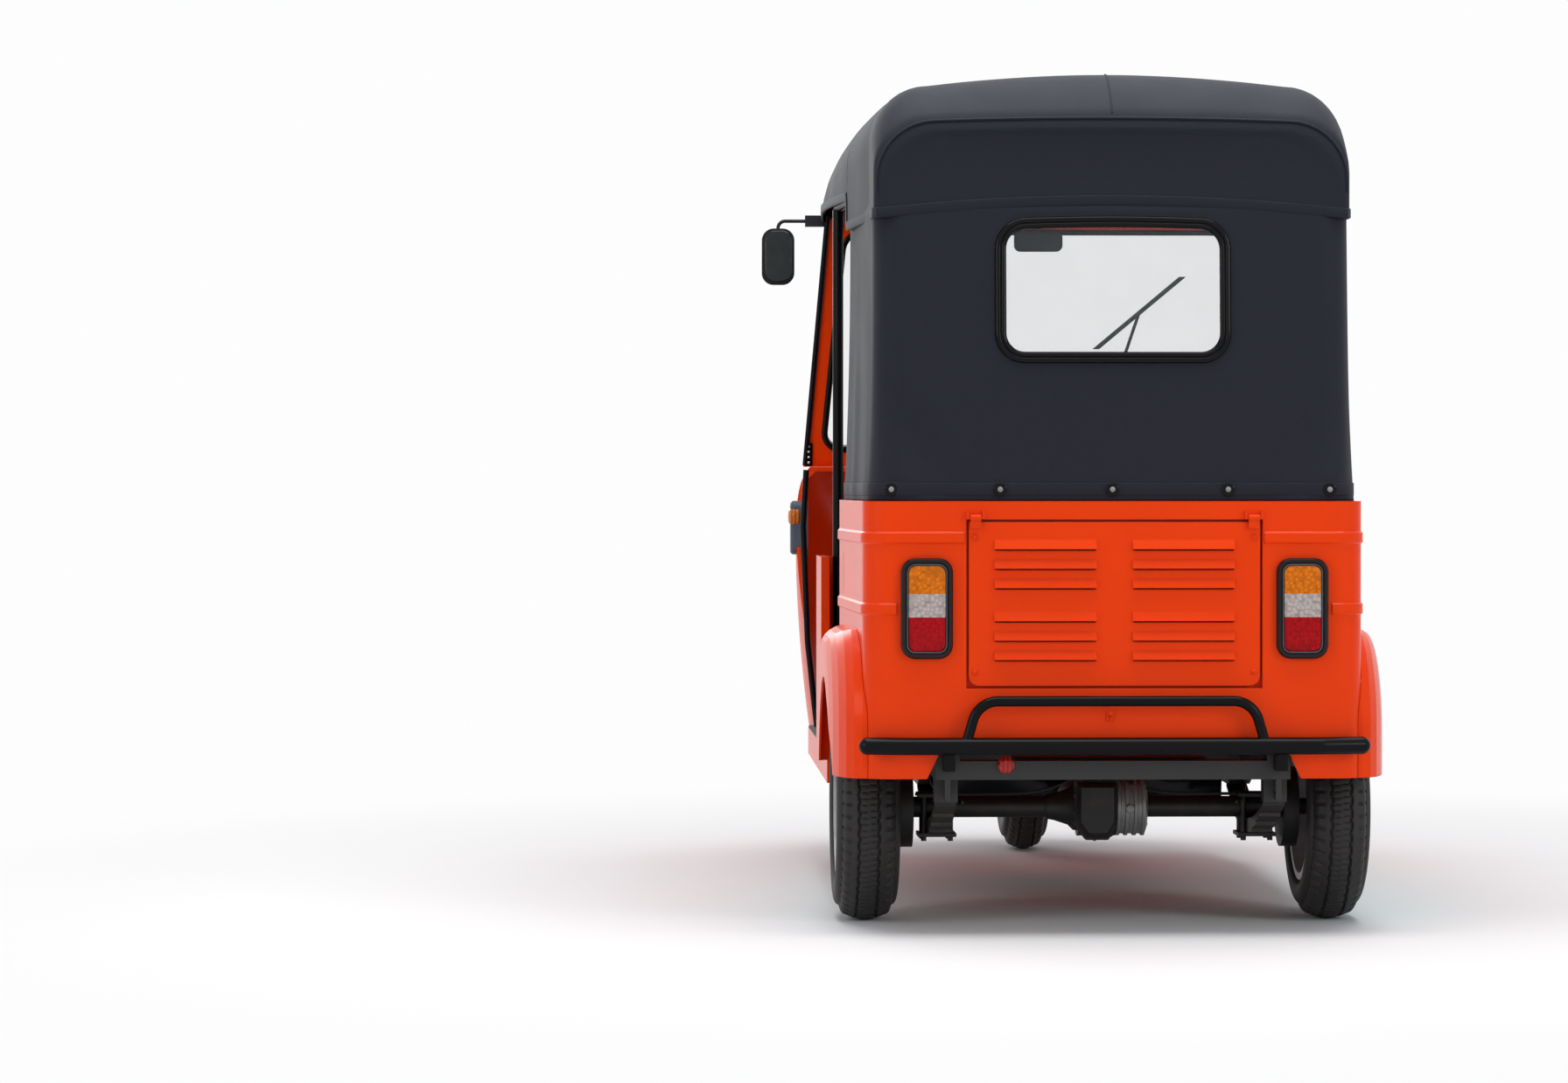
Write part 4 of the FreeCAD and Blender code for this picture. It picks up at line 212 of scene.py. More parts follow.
def dress(piece, body, slot, finish=None, sharp=math.radians(35)):
    """Let a piece ride on a body, in its slot's own finish unless another is named."""
    piece.data.materials.clear()
    piece.data.materials.append(finish_of(finish or slot))
    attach(piece, body)
    piece.data.shade_smooth()
    piece.data.set_sharp_from_angle(angle=sharp)
    return piece


def thicken(piece, thickness, offset=-1.0):
    """Give a sheet its wall with a live modifier."""
    wall = piece.modifiers.new("Wall", "SOLIDIFY")
    wall.thickness = thickness
    wall.offset = offset
    return piece


def corners_of(width, height, radius, steps=8):
    """Closed loop of a rectangle whose corners are quarter circles: centre plus radius times (cos, sin)."""
    angle = (np.arange(4)[:, None] + np.linspace(0, 1, steps)[None]) * math.pi / 2
    centre_x = np.array([1, -1, -1, 1])[:, None] * (width / 2 - radius)
    centre_y = np.array([1, 1, -1, -1])[:, None] * (height / 2 - radius)
    return np.stack([centre_x + radius * np.cos(angle), centre_y + radius * np.sin(angle)], -1).reshape(-1, 2)


def ring_of(radius, steps):
    """Closed circle of points: radius times (cos, sin)."""
    angle = np.arange(steps) * TAU / steps
    return np.stack([radius * np.cos(angle), radius * np.sin(angle)], -1)


def spaced(line, count, closed=False):
    """Points at even distances along a line of points, by interpolating over its running length."""
    line = np.asarray(line, float)
    if closed:
        line = np.vstack([line, line[:1]])
    run = np.r_[0, np.cumsum(np.linalg.norm(np.diff(line, axis=0), axis=1))]
    places = np.linspace(0, run[-1], count, endpoint=not closed)
    return np.stack([np.interp(places, run, column) for column in line.T], -1)


def swept(name, path, profile, up, closed=False):
    """Profile (across, out) carried along a path: path + across * side + out * up', side = tangent x up."""
    path = np.asarray(path, float)
    if closed:
        tangent = np.roll(path, -1, 0) - np.roll(path, 1, 0)
    else:
        tangent = np.gradient(path, axis=0)
    tangent /= np.linalg.norm(tangent, axis=1)[:, None]
    up = np.broadcast_to(np.asarray(up, float), path.shape)
    side = np.cross(tangent, up)
    side /= np.linalg.norm(side, axis=1)[:, None]
    out = np.cross(side, tangent)
    points = (path[:, None] + profile[None, :, :1] * side[:, None]
              + profile[None, :, 1:] * out[:, None])
    if not closed:
        ends = points.mean(1, keepdims=True).repeat(points.shape[1], 1)
        points = np.concatenate([ends[:1], points, ends[-1:]])
    return surface(name, points, close_rows=closed, close_columns=True)


def turned(name, outline, centre, axis, steps=48):
    """Outline (radius, along) turned about an axis: point = centre + radius * (cos, sin) + along * axis."""
    axis = np.asarray(axis, float)
    axis = axis / np.linalg.norm(axis)
    first = np.cross(axis, [0.0, 0.0, 1.0])
    if np.linalg.norm(first) < 1e-3:
        first = np.cross(axis, [0.0, 1.0, 0.0])
    first /= np.linalg.norm(first)
    second = np.cross(axis, first)
    outline = np.asarray(outline, float)
    angle = np.arange(steps) * TAU / steps
    wheel = np.cos(angle)[:, None] * first + np.sin(angle)[:, None] * second
    points = (np.asarray(centre, float) + outline[None, :, :1] * wheel[:, None]
              + outline[None, :, 1:] * axis)
    return surface(name, points, close_rows=True)


def dome(radius, height, edge=0.0):
    """Half outline of a low dome on a short edge: radius * sin, edge + height * cos."""
    angle = np.linspace(0, math.pi / 2, 7)
    cap = np.stack([radius * np.sin(angle), edge + height * np.cos(angle)], -1)
    return np.vstack([cap, [[radius, 0.0], [0.0, 0.0]]])


def plate(name, loop, low, high, place, bevel=0.0):
    """Loop (a, b) raised from low to high, its top edge bevelled; place maps (a, b, c) to space."""
    centre = loop.mean(0)
    reach = np.linalg.norm(loop - centre, axis=1).max()
    shrink = 1 - bevel / reach
    levels = [(0.0, low), (1.0, low), (1.0, high - bevel), (shrink, high), (0.0, high)]
    rows = [np.c_[centre + (loop - centre) * share, np.full(len(loop), level)] for share, level in levels]
    return surface(name, place(np.stack(rows)), close_columns=True)


# Finishes

def put(tree, kind, **settings):
    """Add a node with its settings and inputs; an underscore stands for a space in an input's name."""
    node = tree.nodes.new(kind)
    for key, value in settings.items():
        label = key.replace("_", " ")
        if label in node.inputs.keys():
            node.inputs[label].default_value = value
        else:
            setattr(node, key, value)
    return node


def feed(tree, value, socket):
    """Link a socket to an input, or set the input to a plain colour or number."""
    if isinstance(value, bpy.types.NodeSocket):
        tree.links.new(value, socket)
    else:
        socket.default_value = (*value, 1) if socket.type == "RGBA" else value


def maths(tree, operation, *values, **settings):
    """Result of a sum; each value is a socket or a number."""
    node = put(tree, "ShaderNodeMath", operation=operation, **settings)
    for value, socket in zip(values, node.inputs):
        feed(tree, value, socket)
    return node.outputs[0]


def ranged(tree, value, **limits):
    """Value carried from one range to another."""
    node = put(tree, "ShaderNodeMapRange", **limits)
    feed(tree, value, node.inputs["Value"])
    return node.outputs[0]


def blend(tree, factor, first, second):
    """Colour between two, each a socket or a plain colour."""
    node = put(tree, "ShaderNodeMix", data_type="RGBA")
    for value, label in ((factor, "Factor"), (first, 6), (second, 7)):
        feed(tree, value, node.inputs[label])
    return node.outputs[2]


def textured(tree, kind, **settings):
    """Texture over the object's own metres."""
    node = put(tree, kind, **settings)
    feed(tree, put(tree, "ShaderNodeTexCoord").outputs["Object"], node.inputs["Vector"])
    return node


def height_of(tree):
    """Height in the object's own metres."""
    parts = put(tree, "ShaderNodeSeparateXYZ")
    feed(tree, put(tree, "ShaderNodeTexCoord").outputs["Object"], parts.inputs[0])
    return parts.outputs["Z"]


def rounded(tree, radius):
    """Normal that softens edges by a radius."""
    return put(tree, "ShaderNodeBevel", samples=3, Radius=radius).outputs[0]


def shared_group(name, inputs, outputs):
    """Start a shader node group with named sockets."""
    group = bpy.data.node_groups.new(name, "ShaderNodeTree")
    for label, kind, value in inputs:
        socket = group.interface.new_socket(label, in_out="INPUT", socket_type=kind)
        socket.default_value = value
    for label, kind in outputs:
        group.interface.new_socket(label, in_out="OUTPUT", socket_type=kind)
    return group, group.nodes.new("NodeGroupInput"), group.nodes.new("NodeGroupOutput")


def dust_group():
    """Road dust: thick low down and in soft patches; turns the colour towards dust and the finish dull."""
    if "Road dust" in bpy.data.node_groups:
        return bpy.data.node_groups["Road dust"]
    group, given, result = shared_group(
        "Road dust",
        [("Color", "NodeSocketColor", (0.5, 0.5, 0.5, 1)), ("Roughness", "NodeSocketFloat", 0.3),
         ("Amount", "NodeSocketFloat", 0.3), ("Height", "NodeSocketFloat", 0.9)],
        [("Color", "NodeSocketColor"), ("Roughness", "NodeSocketFloat")])
    patches = textured(group, "ShaderNodeTexNoise", Scale=9.0, Detail=5.0, Roughness=0.6)
    low = ranged(group, height_of(group), interpolation_type="SMOOTHSTEP", To_Min=1.0, To_Max=0.0)
    feed(group, given.outputs["Height"], low.node.inputs["From Max"])
    spread = maths(group, "MULTIPLY", low, patches.outputs[0])
    share = maths(group, "MULTIPLY", spread, given.outputs["Amount"], use_clamp=True)
    feed(group, blend(group, share, given.outputs["Color"], colours().dust), result.inputs["Color"])
    dull = put(group, "ShaderNodeMix", data_type="FLOAT", B=0.85)
    feed(group, share, dull.inputs["Factor"])
    feed(group, given.outputs["Roughness"], dull.inputs["A"])
    feed(group, dull.outputs[0], result.inputs["Roughness"])
    return group


def weave_group():
    """Plain weave: two sets of threads at right angles, as sine waves over the cloth's own metres."""
    if "Plain weave" in bpy.data.node_groups:
        return bpy.data.node_groups["Plain weave"]
    group, given, result = shared_group(
        "Plain weave", [("Threads", "NodeSocketFloat", 900.0)],
        [("Height", "NodeSocketFloat"), ("Shade", "NodeSocketFloat")])
    place = put(group, "ShaderNodeUVMap", uv_map="Cloth")
    scaled = put(group, "ShaderNodeVectorMath", operation="SCALE")
    parts = put(group, "ShaderNodeSeparateXYZ")
    fibre = put(group, "ShaderNodeTexNoise", Scale=240.0, Detail=3.0)
    patch = put(group, "ShaderNodeTexNoise", Scale=5.0, Detail=4.0, Roughness=0.55)
    for socket in (scaled.inputs[0], fibre.inputs["Vector"], patch.inputs["Vector"]):
        feed(group, place.outputs[0], socket)
    feed(group, given.outputs["Threads"], scaled.inputs["Scale"])
    feed(group, scaled.outputs[0], parts.inputs[0])
    crossed = maths(group, "MULTIPLY", *[maths(group, "SINE", parts.outputs[axis]) for axis in "XY"])
    feed(group, maths(group, "MULTIPLY_ADD", crossed, 0.35, fibre.outputs[0]), result.inputs["Height"])
    feed(group, patch.outputs[0], result.inputs["Shade"])
    return group


def grain_group():
    """Moulded or embossed grain: rounded cells of a Voronoi pattern over the object's own metres."""
    if "Fine grain" in bpy.data.node_groups:
        return bpy.data.node_groups["Fine grain"]
    group, given, result = shared_group(
        "Fine grain", [("Scale", "NodeSocketFloat", 400.0)],
        [("Height", "NodeSocketFloat"), ("Shade", "NodeSocketFloat")])
    cells = textured(group, "ShaderNodeTexVoronoi", feature="SMOOTH_F1", Smoothness=0.5)
    patch = textured(group, "ShaderNodeTexNoise", Scale=7.0, Detail=4.0)
    feed(group, given.outputs["Scale"], cells.inputs["Scale"])
    feed(group, cells.outputs["Distance"], result.inputs["Height"])
    feed(group, patch.outputs[0], result.inputs["Shade"])
    return group


def start_finish(name, **sockets):
    """Material with its shader; plain sockets are set here."""
    finish = bpy.data.materials.new(name)
    finish.use_nodes = True
    tree = finish.node_tree
    shader = tree.nodes["Principled BSDF"]
    for label, value in {"Roughness": 0.4, "Metallic": 0.0, **sockets}.items():
        shader.inputs[label.replace("_", " ")].default_value = value
    return finish, tree, shader


def shade(tree, colour, factor, dark=0.8, light=1.15):
    """Colour that varies between darker and lighter by a factor."""
    return blend(tree, factor, [channel * dark for channel in colour],
                 [min(1.0, channel * light) for channel in colour])


def bump(tree, shader, height, strength, distance, soften=None):
    """Raise the surface by a height, over an optional softened normal."""
    relief = put(tree, "ShaderNodeBump", Strength=strength, Distance=distance)
    feed(tree, height, relief.inputs["Height"])
    if soften is not None:
        feed(tree, soften, relief.inputs["Normal"])
    feed(tree, relief.outputs[0], shader.inputs["Normal"])


def dusted(tree, shader, colour, roughness, amount, height):
    """Feed colour and roughness to the shader through the shared dust."""
    dust = put(tree, "ShaderNodeGroup", node_tree=dust_group(), Amount=amount, Height=height)
    feed(tree, colour, dust.inputs["Color"])
    feed(tree, roughness, dust.inputs["Roughness"])
    feed(tree, dust.outputs["Color"], shader.inputs["Base Color"])
    feed(tree, dust.outputs["Roughness"], shader.inputs["Roughness"])


def paint(name, colour, roughness, dust, height, specular=0.1):
    """Gloss paint: slow colour drift, fine orange peel, rounded edges, dust low down, a clear coat."""
    finish, tree, shader = start_finish(
        name, Coat_Weight=0.06, Coat_Roughness=0.04, Specular_IOR_Level=specular)
    drift = textured(tree, "ShaderNodeTexNoise", Scale=2.2, Detail=3.0)
    peel = textured(tree, "ShaderNodeTexNoise", Scale=170.0, Detail=2.0)
    dusted(tree, shader, shade(tree, colour, drift.outputs[0], 0.9, 1.1), roughness, dust, height)
    bump(tree, shader, peel.outputs[0], 0.12, 0.0006, rounded(tree, 0.003))
    return finish


def cloth_finish():
    """Coated canopy cloth: fine weave, faint mottling, soft sheen, and gloss tinted blue as a painted sky
    reflection.
    """
    # The blue specular tint is a painted reflection: it colours the cloth's gloss like a bluish sky.
    finish, tree, shader = start_finish(
        "Canopy cloth", Specular_IOR_Level=0.24, Sheen_Weight=0.06,
        Specular_Tint=(0.76, 0.84, 1.0, 1), Sheen_Roughness=0.4)
    weave = put(tree, "ShaderNodeGroup", node_tree=weave_group(), Threads=2600.0)
    mottling = weave.outputs["Shade"]
    rough = ranged(tree, mottling, To_Min=0.58, To_Max=0.78)
    dusted(tree, shader, shade(tree, colours().cloth, mottling, 0.8, 1.2), rough, 0.06, 1.4)
    bump(tree, shader, weave.outputs["Height"], 0.35, 0.0005)
    return finish


def grained_finish(name, colour, roughness, specular, scale, tones, dust, relief, edge=None):
    """Grained surface: tones (dark, light), dust (amount, height), relief (strength, distance)."""
    finish, tree, shader = start_finish(name, Specular_IOR_Level=specular)
    grain = put(tree, "ShaderNodeGroup", node_tree=grain_group(), Scale=scale)
    dusted(tree, shader, shade(tree, colour, grain.outputs["Shade"], *tones), roughness, *dust)
    bump(tree, shader, grain.outputs["Height"], *relief, edge and rounded(tree, edge))
    return finish


def vinyl_finish(name, colour):
    """Embossed seat cover."""
    return grained_finish(name, colour, 0.48, 0.4, 520.0, (0.75, 1.35), (0.12, 1.2), (0.3, 0.0008))


def rubber_finish(name, colour, roughness, dust, scale=260.0, specular=0.35):
    """Rubber with a fine grain and dust in its low parts."""
    return grained_finish(name, colour, roughness, specular, scale, (0.8, 1.25), (dust, 0.6), (0.25, 0.0006))


def plastic_finish(name, colour, roughness=0.45):
    """Moulded plastic with a leathery grain."""
    return grained_finish(name, colour, roughness, 0.2, 700.0, (0.8, 1.3), (0.12, 1.4), (0.2, 0.0004), 0.0015)


def metal_finish(name, colour, roughness, metallic=1.0, dust=0.3, rust=0.0):
    """Metal with brushed variation, rounded edges and, where asked, rusty patches."""
    finish, tree, shader = start_finish(name, Metallic=metallic)
    grime = textured(tree, "ShaderNodeTexNoise", Scale=28.0, Detail=6.0, Roughness=0.65).outputs[0]
    toned = shade(tree, colour, grime, 0.6, 1.3)
    if rust:
        patches = ranged(tree, grime, From_Min=0.52, From_Max=0.68, To_Max=rust)
        toned = blend(tree, patches, toned, (0.13, 0.055, 0.025))
    dusted(tree, shader, toned, roughness, dust, 0.7)
    bump(tree, shader, grime, 0.25, 0.0008, rounded(tree, 0.0015))
    return finish


def glass_finish(name, colour, roughness, clearness):
    """Thin clear sheet: mostly see-through, with faint smears in its gloss."""
    finish, tree, shader = start_finish(
        name, Base_Color=(*colour, 1), Specular_IOR_Level=0.5, IOR=1.45)
    smear = textured(tree, "ShaderNodeTexNoise", Scale=6.0, Detail=4.0, Distortion=0.8).outputs[0]
    for label, value, least, most in (("Roughness", roughness, 1.0, 2.5), ("Alpha", clearness, 0.8, 1.3)):
        feed(tree, ranged(tree, smear, To_Min=value * least, To_Max=value * most), shader.inputs[label])
    return finish


def band(tree, source, low, high):
    """Mask that is one between two values of a socket."""
    return maths(tree, "MULTIPLY", maths(tree, "GREATER_THAN", source, low),
                 maths(tree, "LESS_THAN", source, high))


def ribs_of(tree, scale):
    """Upright ribs across a lens."""
    ribs = textured(tree, "ShaderNodeTexWave", wave_type="BANDS", bands_direction="X", Scale=scale)
    return ribs.outputs["Fac"]


def tail_lens_finish():
    """Three zones up the lens, red, clear and amber, with moulded ribs and a painted sparkle of the bowl:
    painted glints and shade in the lens colour.
    """
    low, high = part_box("tail_lamp_lenses")
    tall = high.z - low.z
    finish, tree, shader = start_finish("Tail lens", Roughness=0.1, Specular_IOR_Level=0.12)
    height = height_of(tree)
    # Painted glints and shade of the bowl: in each cell the lens colour runs from 1.45 times its tint near
    # the centre to 0.35 times further out.
    bowl_glints = textured(tree, "ShaderNodeTexVoronoi", feature="F1", distance="CHEBYCHEV",
                      Scale=110.0, Randomness=0.7)
    colour = (0, 0, 0)
    edges = (low.z - 0.01, low.z + tall * 0.405, low.z + tall * 0.665, high.z + 0.01)
    for tint, below, above in zip((colours().red, colours().clear, colours().amber), edges, edges[1:]):
        toned = shade(tree, tint, bowl_glints.outputs["Distance"], 1.45, 0.35)
        colour = blend(tree, band(tree, height, below, above), colour, toned)
    feed(tree, colour, shader.inputs["Base Color"])
    bump(tree, shader, ribs_of(tree, 38.0), 0.35, 0.0012)
    return finish


def glossy_lens(name, colour):
    """Moulded lens over a bright bowl: ribs across it, with painted shade between them and painted highlights
    on them.
    """
    finish, tree, shader = start_finish(name, Roughness=0.1, Specular_IOR_Level=0.35)
    ribs = ribs_of(tree, 32.0)
    # Painted shade and highlight across the ribs: the colour runs from 0.6 to 1.15 times its own.
    feed(tree, shade(tree, colour, ribs, 0.6, 1.15), shader.inputs["Base Color"])
    bump(tree, shader, ribs, 0.5, 0.002)
    return finish


FINISHES = {
    "body_paint": lambda: paint("Body paint", colours().body, 0.26, 0.03, 0.6),
    "black_paint": lambda: paint("Black paint", colours().black, 0.24, 0.02, 0.6, 0.07),
    "frame_paint": lambda: metal_finish("Chassis paint", (0.007, 0.007, 0.008), 0.5, 0.0, 0.1),
    "floor_rubber": lambda: rubber_finish("Floor mat", (0.02, 0.02, 0.022), 0.7, 0.4),
    "grey_paint": lambda: paint("Grey paint", (0.3, 0.31, 0.32), 0.35, 0.2, 0.9),
    "canopy_cloth": cloth_finish,
    "window_film": lambda: glass_finish("Window film", (0.26, 0.3, 0.32), 0.05, 0.085),
    "screen_glass": lambda: glass_finish("Screen glass", (0.2, 0.26, 0.26), 0.02, 0.07),
    "seal_rubber": lambda: rubber_finish("Rubber seal", (0.003, 0.003, 0.004), 0.14, 0.02, 60.0, 0.14),
    "seat_cover": lambda: vinyl_finish("Cushion cover", colours().seat),
    "lamp_lens": tail_lens_finish,
    "lamp_housing": lambda: plastic_finish("Lamp housing", (0.008, 0.004, 0.004), 0.16),
    "headlamp_lens": lambda: metal_finish("Lamp rim", (0.72, 0.73, 0.75), 0.12, 1.0, 0.05),
    "black_plastic": lambda: plastic_finish("Black plastic", (0.014, 0.014, 0.016)),
    "tyre_rubber": lambda: rubber_finish("Tyre", (0.011, 0.011, 0.0115), 0.6, 0.14),
    "wheel_silver": lambda: metal_finish("Wheel paint", colours().silver, 0.34, 0.75, 0.25),
    "bare_casting": lambda: metal_finish("Casting", (0.009, 0.009, 0.0095), 0.5, 0.3, 0.1, 0.1),
    "spring_steel": lambda: metal_finish("Spring steel", (0.01, 0.01, 0.0105), 0.5, 0.3, 0.12, 0.15),
    "bright_metal": lambda: metal_finish("Plated steel", (0.6, 0.6, 0.61), 0.25, 1.0, 0.1, 0.1),
    "mirror_face": lambda: metal_finish("Mirror face", (0.035, 0.038, 0.04), 0.12, 1.0, 0.02),
    "amber_lens": lambda: glossy_lens("Amber lens", colours().amber),
    "lamp_glass": lambda: glossy_lens("Lamp glass", (0.7, 0.74, 0.78)),
    "dial_face": lambda: plastic_finish("Dial face", (0.6, 0.6, 0.58), 0.35),
    "lamp_grey": lambda: plastic_finish("Indicator housing", (0.08, 0.1, 0.13), 0.3),
    "cast_alloy": lambda: metal_finish("Cast alloy", (0.25, 0.25, 0.25), 0.42, 0.35, 0.06, 0.05),
    "red_lens": lambda: glossy_lens("Red lens", (0.4, 0.01, 0.004)),
}


def finish_of(slot):
    """The finish of a slot, made once."""
    tag = "taxi_" + slot
    if tag not in bpy.context.scene:
        bpy.context.scene[tag] = FINISHES[slot]().name
    return bpy.data.materials[bpy.context.scene[tag]]


class PaintFrame(bpy.types.Operator):
    """Give every packed sub-part the finish of its slot"""

    bl_idname = "taxi.paint_frame"
    bl_label = "Paint the metalwork"

    def execute(self, context):
        for entry in frame["record"]["subparts"]:
            node = frame["nodes"][entry["node"]]
            finish = "lamp_grey" if entry["node"] == "side_indicators" else entry["material_slot"]
            for slot in node.material_slots:
                slot.material = finish_of(finish)
        return {"FINISHED"}


# Canopy

CANOPY_LOW, CANOPY_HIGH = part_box("canopy_roof")
CURTAIN_LOW, CURTAIN_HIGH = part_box("rear_curtain")
REAR_ROUND = 0.022
CROWN = 1.842
MIDDLE_FALL = 0.005
HEADER_HEIGHT = 1.647
POST_LINE = REAR_AXLE + 0.2
ARCH_POINTS = 181
ROOF_EDGE = CANOPY_LOW.z - 0.006
SIDE_EDGE = 1.6
SIDE_EDGE_RISE = 0.04
END_RISE = 0.006
FACE_LIFT = 0.026
CLOTH_SHARP = math.radians(70)
ROOF_SAG = 0.004
FACE_BULGE = 0.008
DRIP_REACH = 0.485
BUTTON_PLACES = (-0.474, -0.239, -0.0045, 0.245, 0.461)
CURTAIN_GRID = (106, 290)
WINDOW_MIDDLE = sum(corner.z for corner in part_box("window_gasket")) / 2
WINDOW_MARGIN = 0.01


def canopy_sections(rows):
    """Half width, crown and shoulder along the roof: each one smooth curve through rear, middle and front."""
    middle = (CANOPY_LOW.y + CANOPY_HIGH.y) / 2
    stations = np.array([CANOPY_LOW.y + sizes().canopy_slope, middle, CANOPY_HIGH.y])
    widths = [sizes().canopy_rear_half_width, CANOPY_HIGH.x - 0.003, sizes().canopy_front_half_width]
    crowns = [CROWN, CROWN - MIDDLE_FALL, CROWN - sizes().canopy_front_fall]
    turns = [sizes().canopy_shoulder, sizes().canopy_middle_shoulder, sizes().canopy_shoulder]
    return [np.polyval(np.polyfit(stations, values, 2), rows) for values in (widths, crowns, turns)]


def arch_loop(half, crown, rise, turn, bottom):
    """Arch over the cabin: upright side, quarter-round shoulder, crowned top, and back down."""
    edge = crown - rise
    angle = np.linspace(0, math.pi / 2, 10)
    across = np.linspace(half - turn, 0, 12)[1:]
    top = crown - rise * (across / (half - turn)) ** 2
    right = np.vstack([
        [[half, bottom]],
        np.stack([half - turn + turn * np.cos(angle), edge - turn + turn * np.sin(angle)], -1),
        np.stack([across, top], -1)])
    left = right[:-1][::-1] * [-1, 1]
    return spaced(np.vstack([right, left]), ARCH_POINTS)


def lower_edge(stations):
    """Height of the roof cloth's lower edge: low beside the curtain, lifted from the post to the header."""
    share = np.clip((stations - POST_LINE) / (CANOPY_HIGH.y - POST_LINE), 0, 1)
    return np.where(stations > POST_LINE, SIDE_EDGE + SIDE_EDGE_RISE * share, ROOF_EDGE)


def arch_row(loop, line):
    """Arch standing across the vehicle at a station."""
    return np.c_[loop[:, 0], np.full(len(loop), line), loop[:, 1]]


def canopy_points():
    """Roof grid, front to rear (header, arches, slope, round edge, rear face), and three of its rows."""
    rear, slope = CANOPY_LOW.y, sizes().canopy_slope
    full_rise = sizes().canopy_crown_rise
    beside_post = (POST_LINE - 0.003, POST_LINE + 0.003)
    stations = np.sort(np.r_[np.linspace(CANOPY_HIGH.y, rear + slope, 54), beside_post])[::-1]
    arches = zip(stations, *canopy_sections(stations), lower_edge(stations))
    rows = [arch_row(arch_loop(half, crown, full_rise, turn, bottom), station)
            for station, half, crown, turn, bottom in arches]
    header = [fold_towards(rows[0], share, HEADER_HEIGHT) for share in np.linspace(0, 1, 12)[:-1]]
    half, turn = sizes().canopy_rear_half_width, sizes().canopy_shoulder
    runs = np.linspace(slope, REAR_ROUND, 14)[1:]
    turns = np.linspace(math.pi / 2, 0, 9)[1:]
    distances = np.r_[runs, REAR_ROUND * (1 - np.cos(turns))]
    insets = np.r_[0 * runs, REAR_ROUND * (1 - np.sin(turns))]
    for distance, inset in zip(distances, insets):
        away = distance / slope
        crown = CROWN - sizes().canopy_rear_fall * (1 - away) ** 2 - inset
        rise = END_RISE + (full_rise - END_RISE) * away
        rows.append(arch_row(arch_loop(half - inset, crown, rise, turn, ROOF_EDGE), rear + distance))
    last = rows[-1]
    face = []
    for share in np.linspace(1, 0, 26)[1:]:
        drawn = fold_towards(last, share, ROOF_EDGE)
        lift = FACE_LIFT * (1 - (drawn[:, 0] / last[0, 0]) ** 2)
        drawn[:, 2] += lift * np.clip(1 - (drawn[:, 2] - CANOPY_LOW.z) / 0.12, 0, 1)
        face.append(drawn)
    edge_row = len(header) + len(stations) + len(runs)
    return np.stack(header + rows + face), len(header), edge_row, len(header + rows)


def fold_towards(loop, share, bottom):
    """Loop drawn in towards the middle of its lower edge by a share."""
    drawn = loop.copy()
    drawn[:, 0] *= share
    drawn[:, 2] = bottom + (loop[:, 2] - bottom) * share
    return drawn


def surface_metres(points):
    """Map of a grid in its own metres: running length along each row and along each column."""
    along = np.linalg.norm(np.diff(points, axis=1), axis=2)
    down = np.linalg.norm(np.diff(points, axis=0), axis=2)
    across = np.concatenate([np.zeros((points.shape[0], 1)), np.cumsum(along, 1)], 1)
    across -= across[:, -1:] / 2
    middle = points.shape[1] // 2
    length = np.r_[0, np.cumsum(down[:, middle])]
    return np.stack([across, np.repeat(length[:, None], points.shape[1], 1)], -1)


class Canopy(bpy.types.Operator):
    """Stretch the roof cloth over its hoops, with its seams and drip edge"""

    bl_idname = "taxi.canopy"
    bl_label = "Canopy cloth"

    def execute(self, context):
        points, header, edge_row, face_row = canopy_points()
        uv = surface_metres(points)
        inner = np.clip((0.44 - np.abs(points[..., 0])) / 0.2, 0, 1)
        inner *= points[..., 2] > CANOPY_LOW.z + 0.15
        behind = np.clip((points[..., 1] - CANOPY_LOW.y - 0.1) / 0.2, 0, 1)
        sag = ROOF_SAG * np.sin(points[..., 1] * 4.6 + 0.4) ** 2 * inner * behind
        points[..., 2] -= sag
        face = np.arange(len(points))[:, None] >= face_row
        tall = CROWN - sizes().canopy_rear_fall - CANOPY_LOW.z
        height = np.clip((points[..., 2] - CANOPY_LOW.z) / tall, 0, 1)
        points[..., 1] += face * FACE_BULGE * np.sin(height * math.pi) * np.cos(points[..., 0] * 2.6)
        roof = surface("canopy_cloth", points, uv=uv)
        thicken(roof, sizes().cloth_thickness)
        dress(roof, "body", "canopy_cloth", sharp=CLOTH_SHARP)
        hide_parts("canopy_roof")
        cord = ring_of(0.0032, 8)
        rim = points[edge_row + 3]
        rim = rim[rim[:, 2] > CANOPY_LOW.z + 0.03]
        seams = [swept("seam", rim + [0, -0.001, 0.001], cord, (0.0, -1.0, 0.2))]
        middle = points[edge_row - 22:edge_row + 2, ARCH_POINTS // 2]
        seams.append(swept("middle_seam", middle + [0, 0, 0.0006], ring_of(0.0018, 6), ACROSS))
        face_points = points[face_row:].reshape(-1, 3)
        low_edge = np.stack([
            face_points[np.argmin(np.abs(face_points[:, 0] - x) + (face_points[:, 2] - CANOPY_LOW.z) * 4)]
            for x in np.linspace(-DRIP_REACH, DRIP_REACH, 40)])
        sides = (points[header:face_row, 0], points[header:face_row, -1])
        left, right = sorted(sides, key=lambda side: side[0, 0])
        edge = np.vstack([left, low_edge, right[::-1]])
        seams.append(swept("drip", spaced(edge, 320), corners_of(0.006, 0.022, 0.0029, 4), UP))
        piping = joined("canopy_seams", seams)
        dress(piping, "body", "canopy_cloth")
        return {"FINISHED"}


# Curtain and rear window

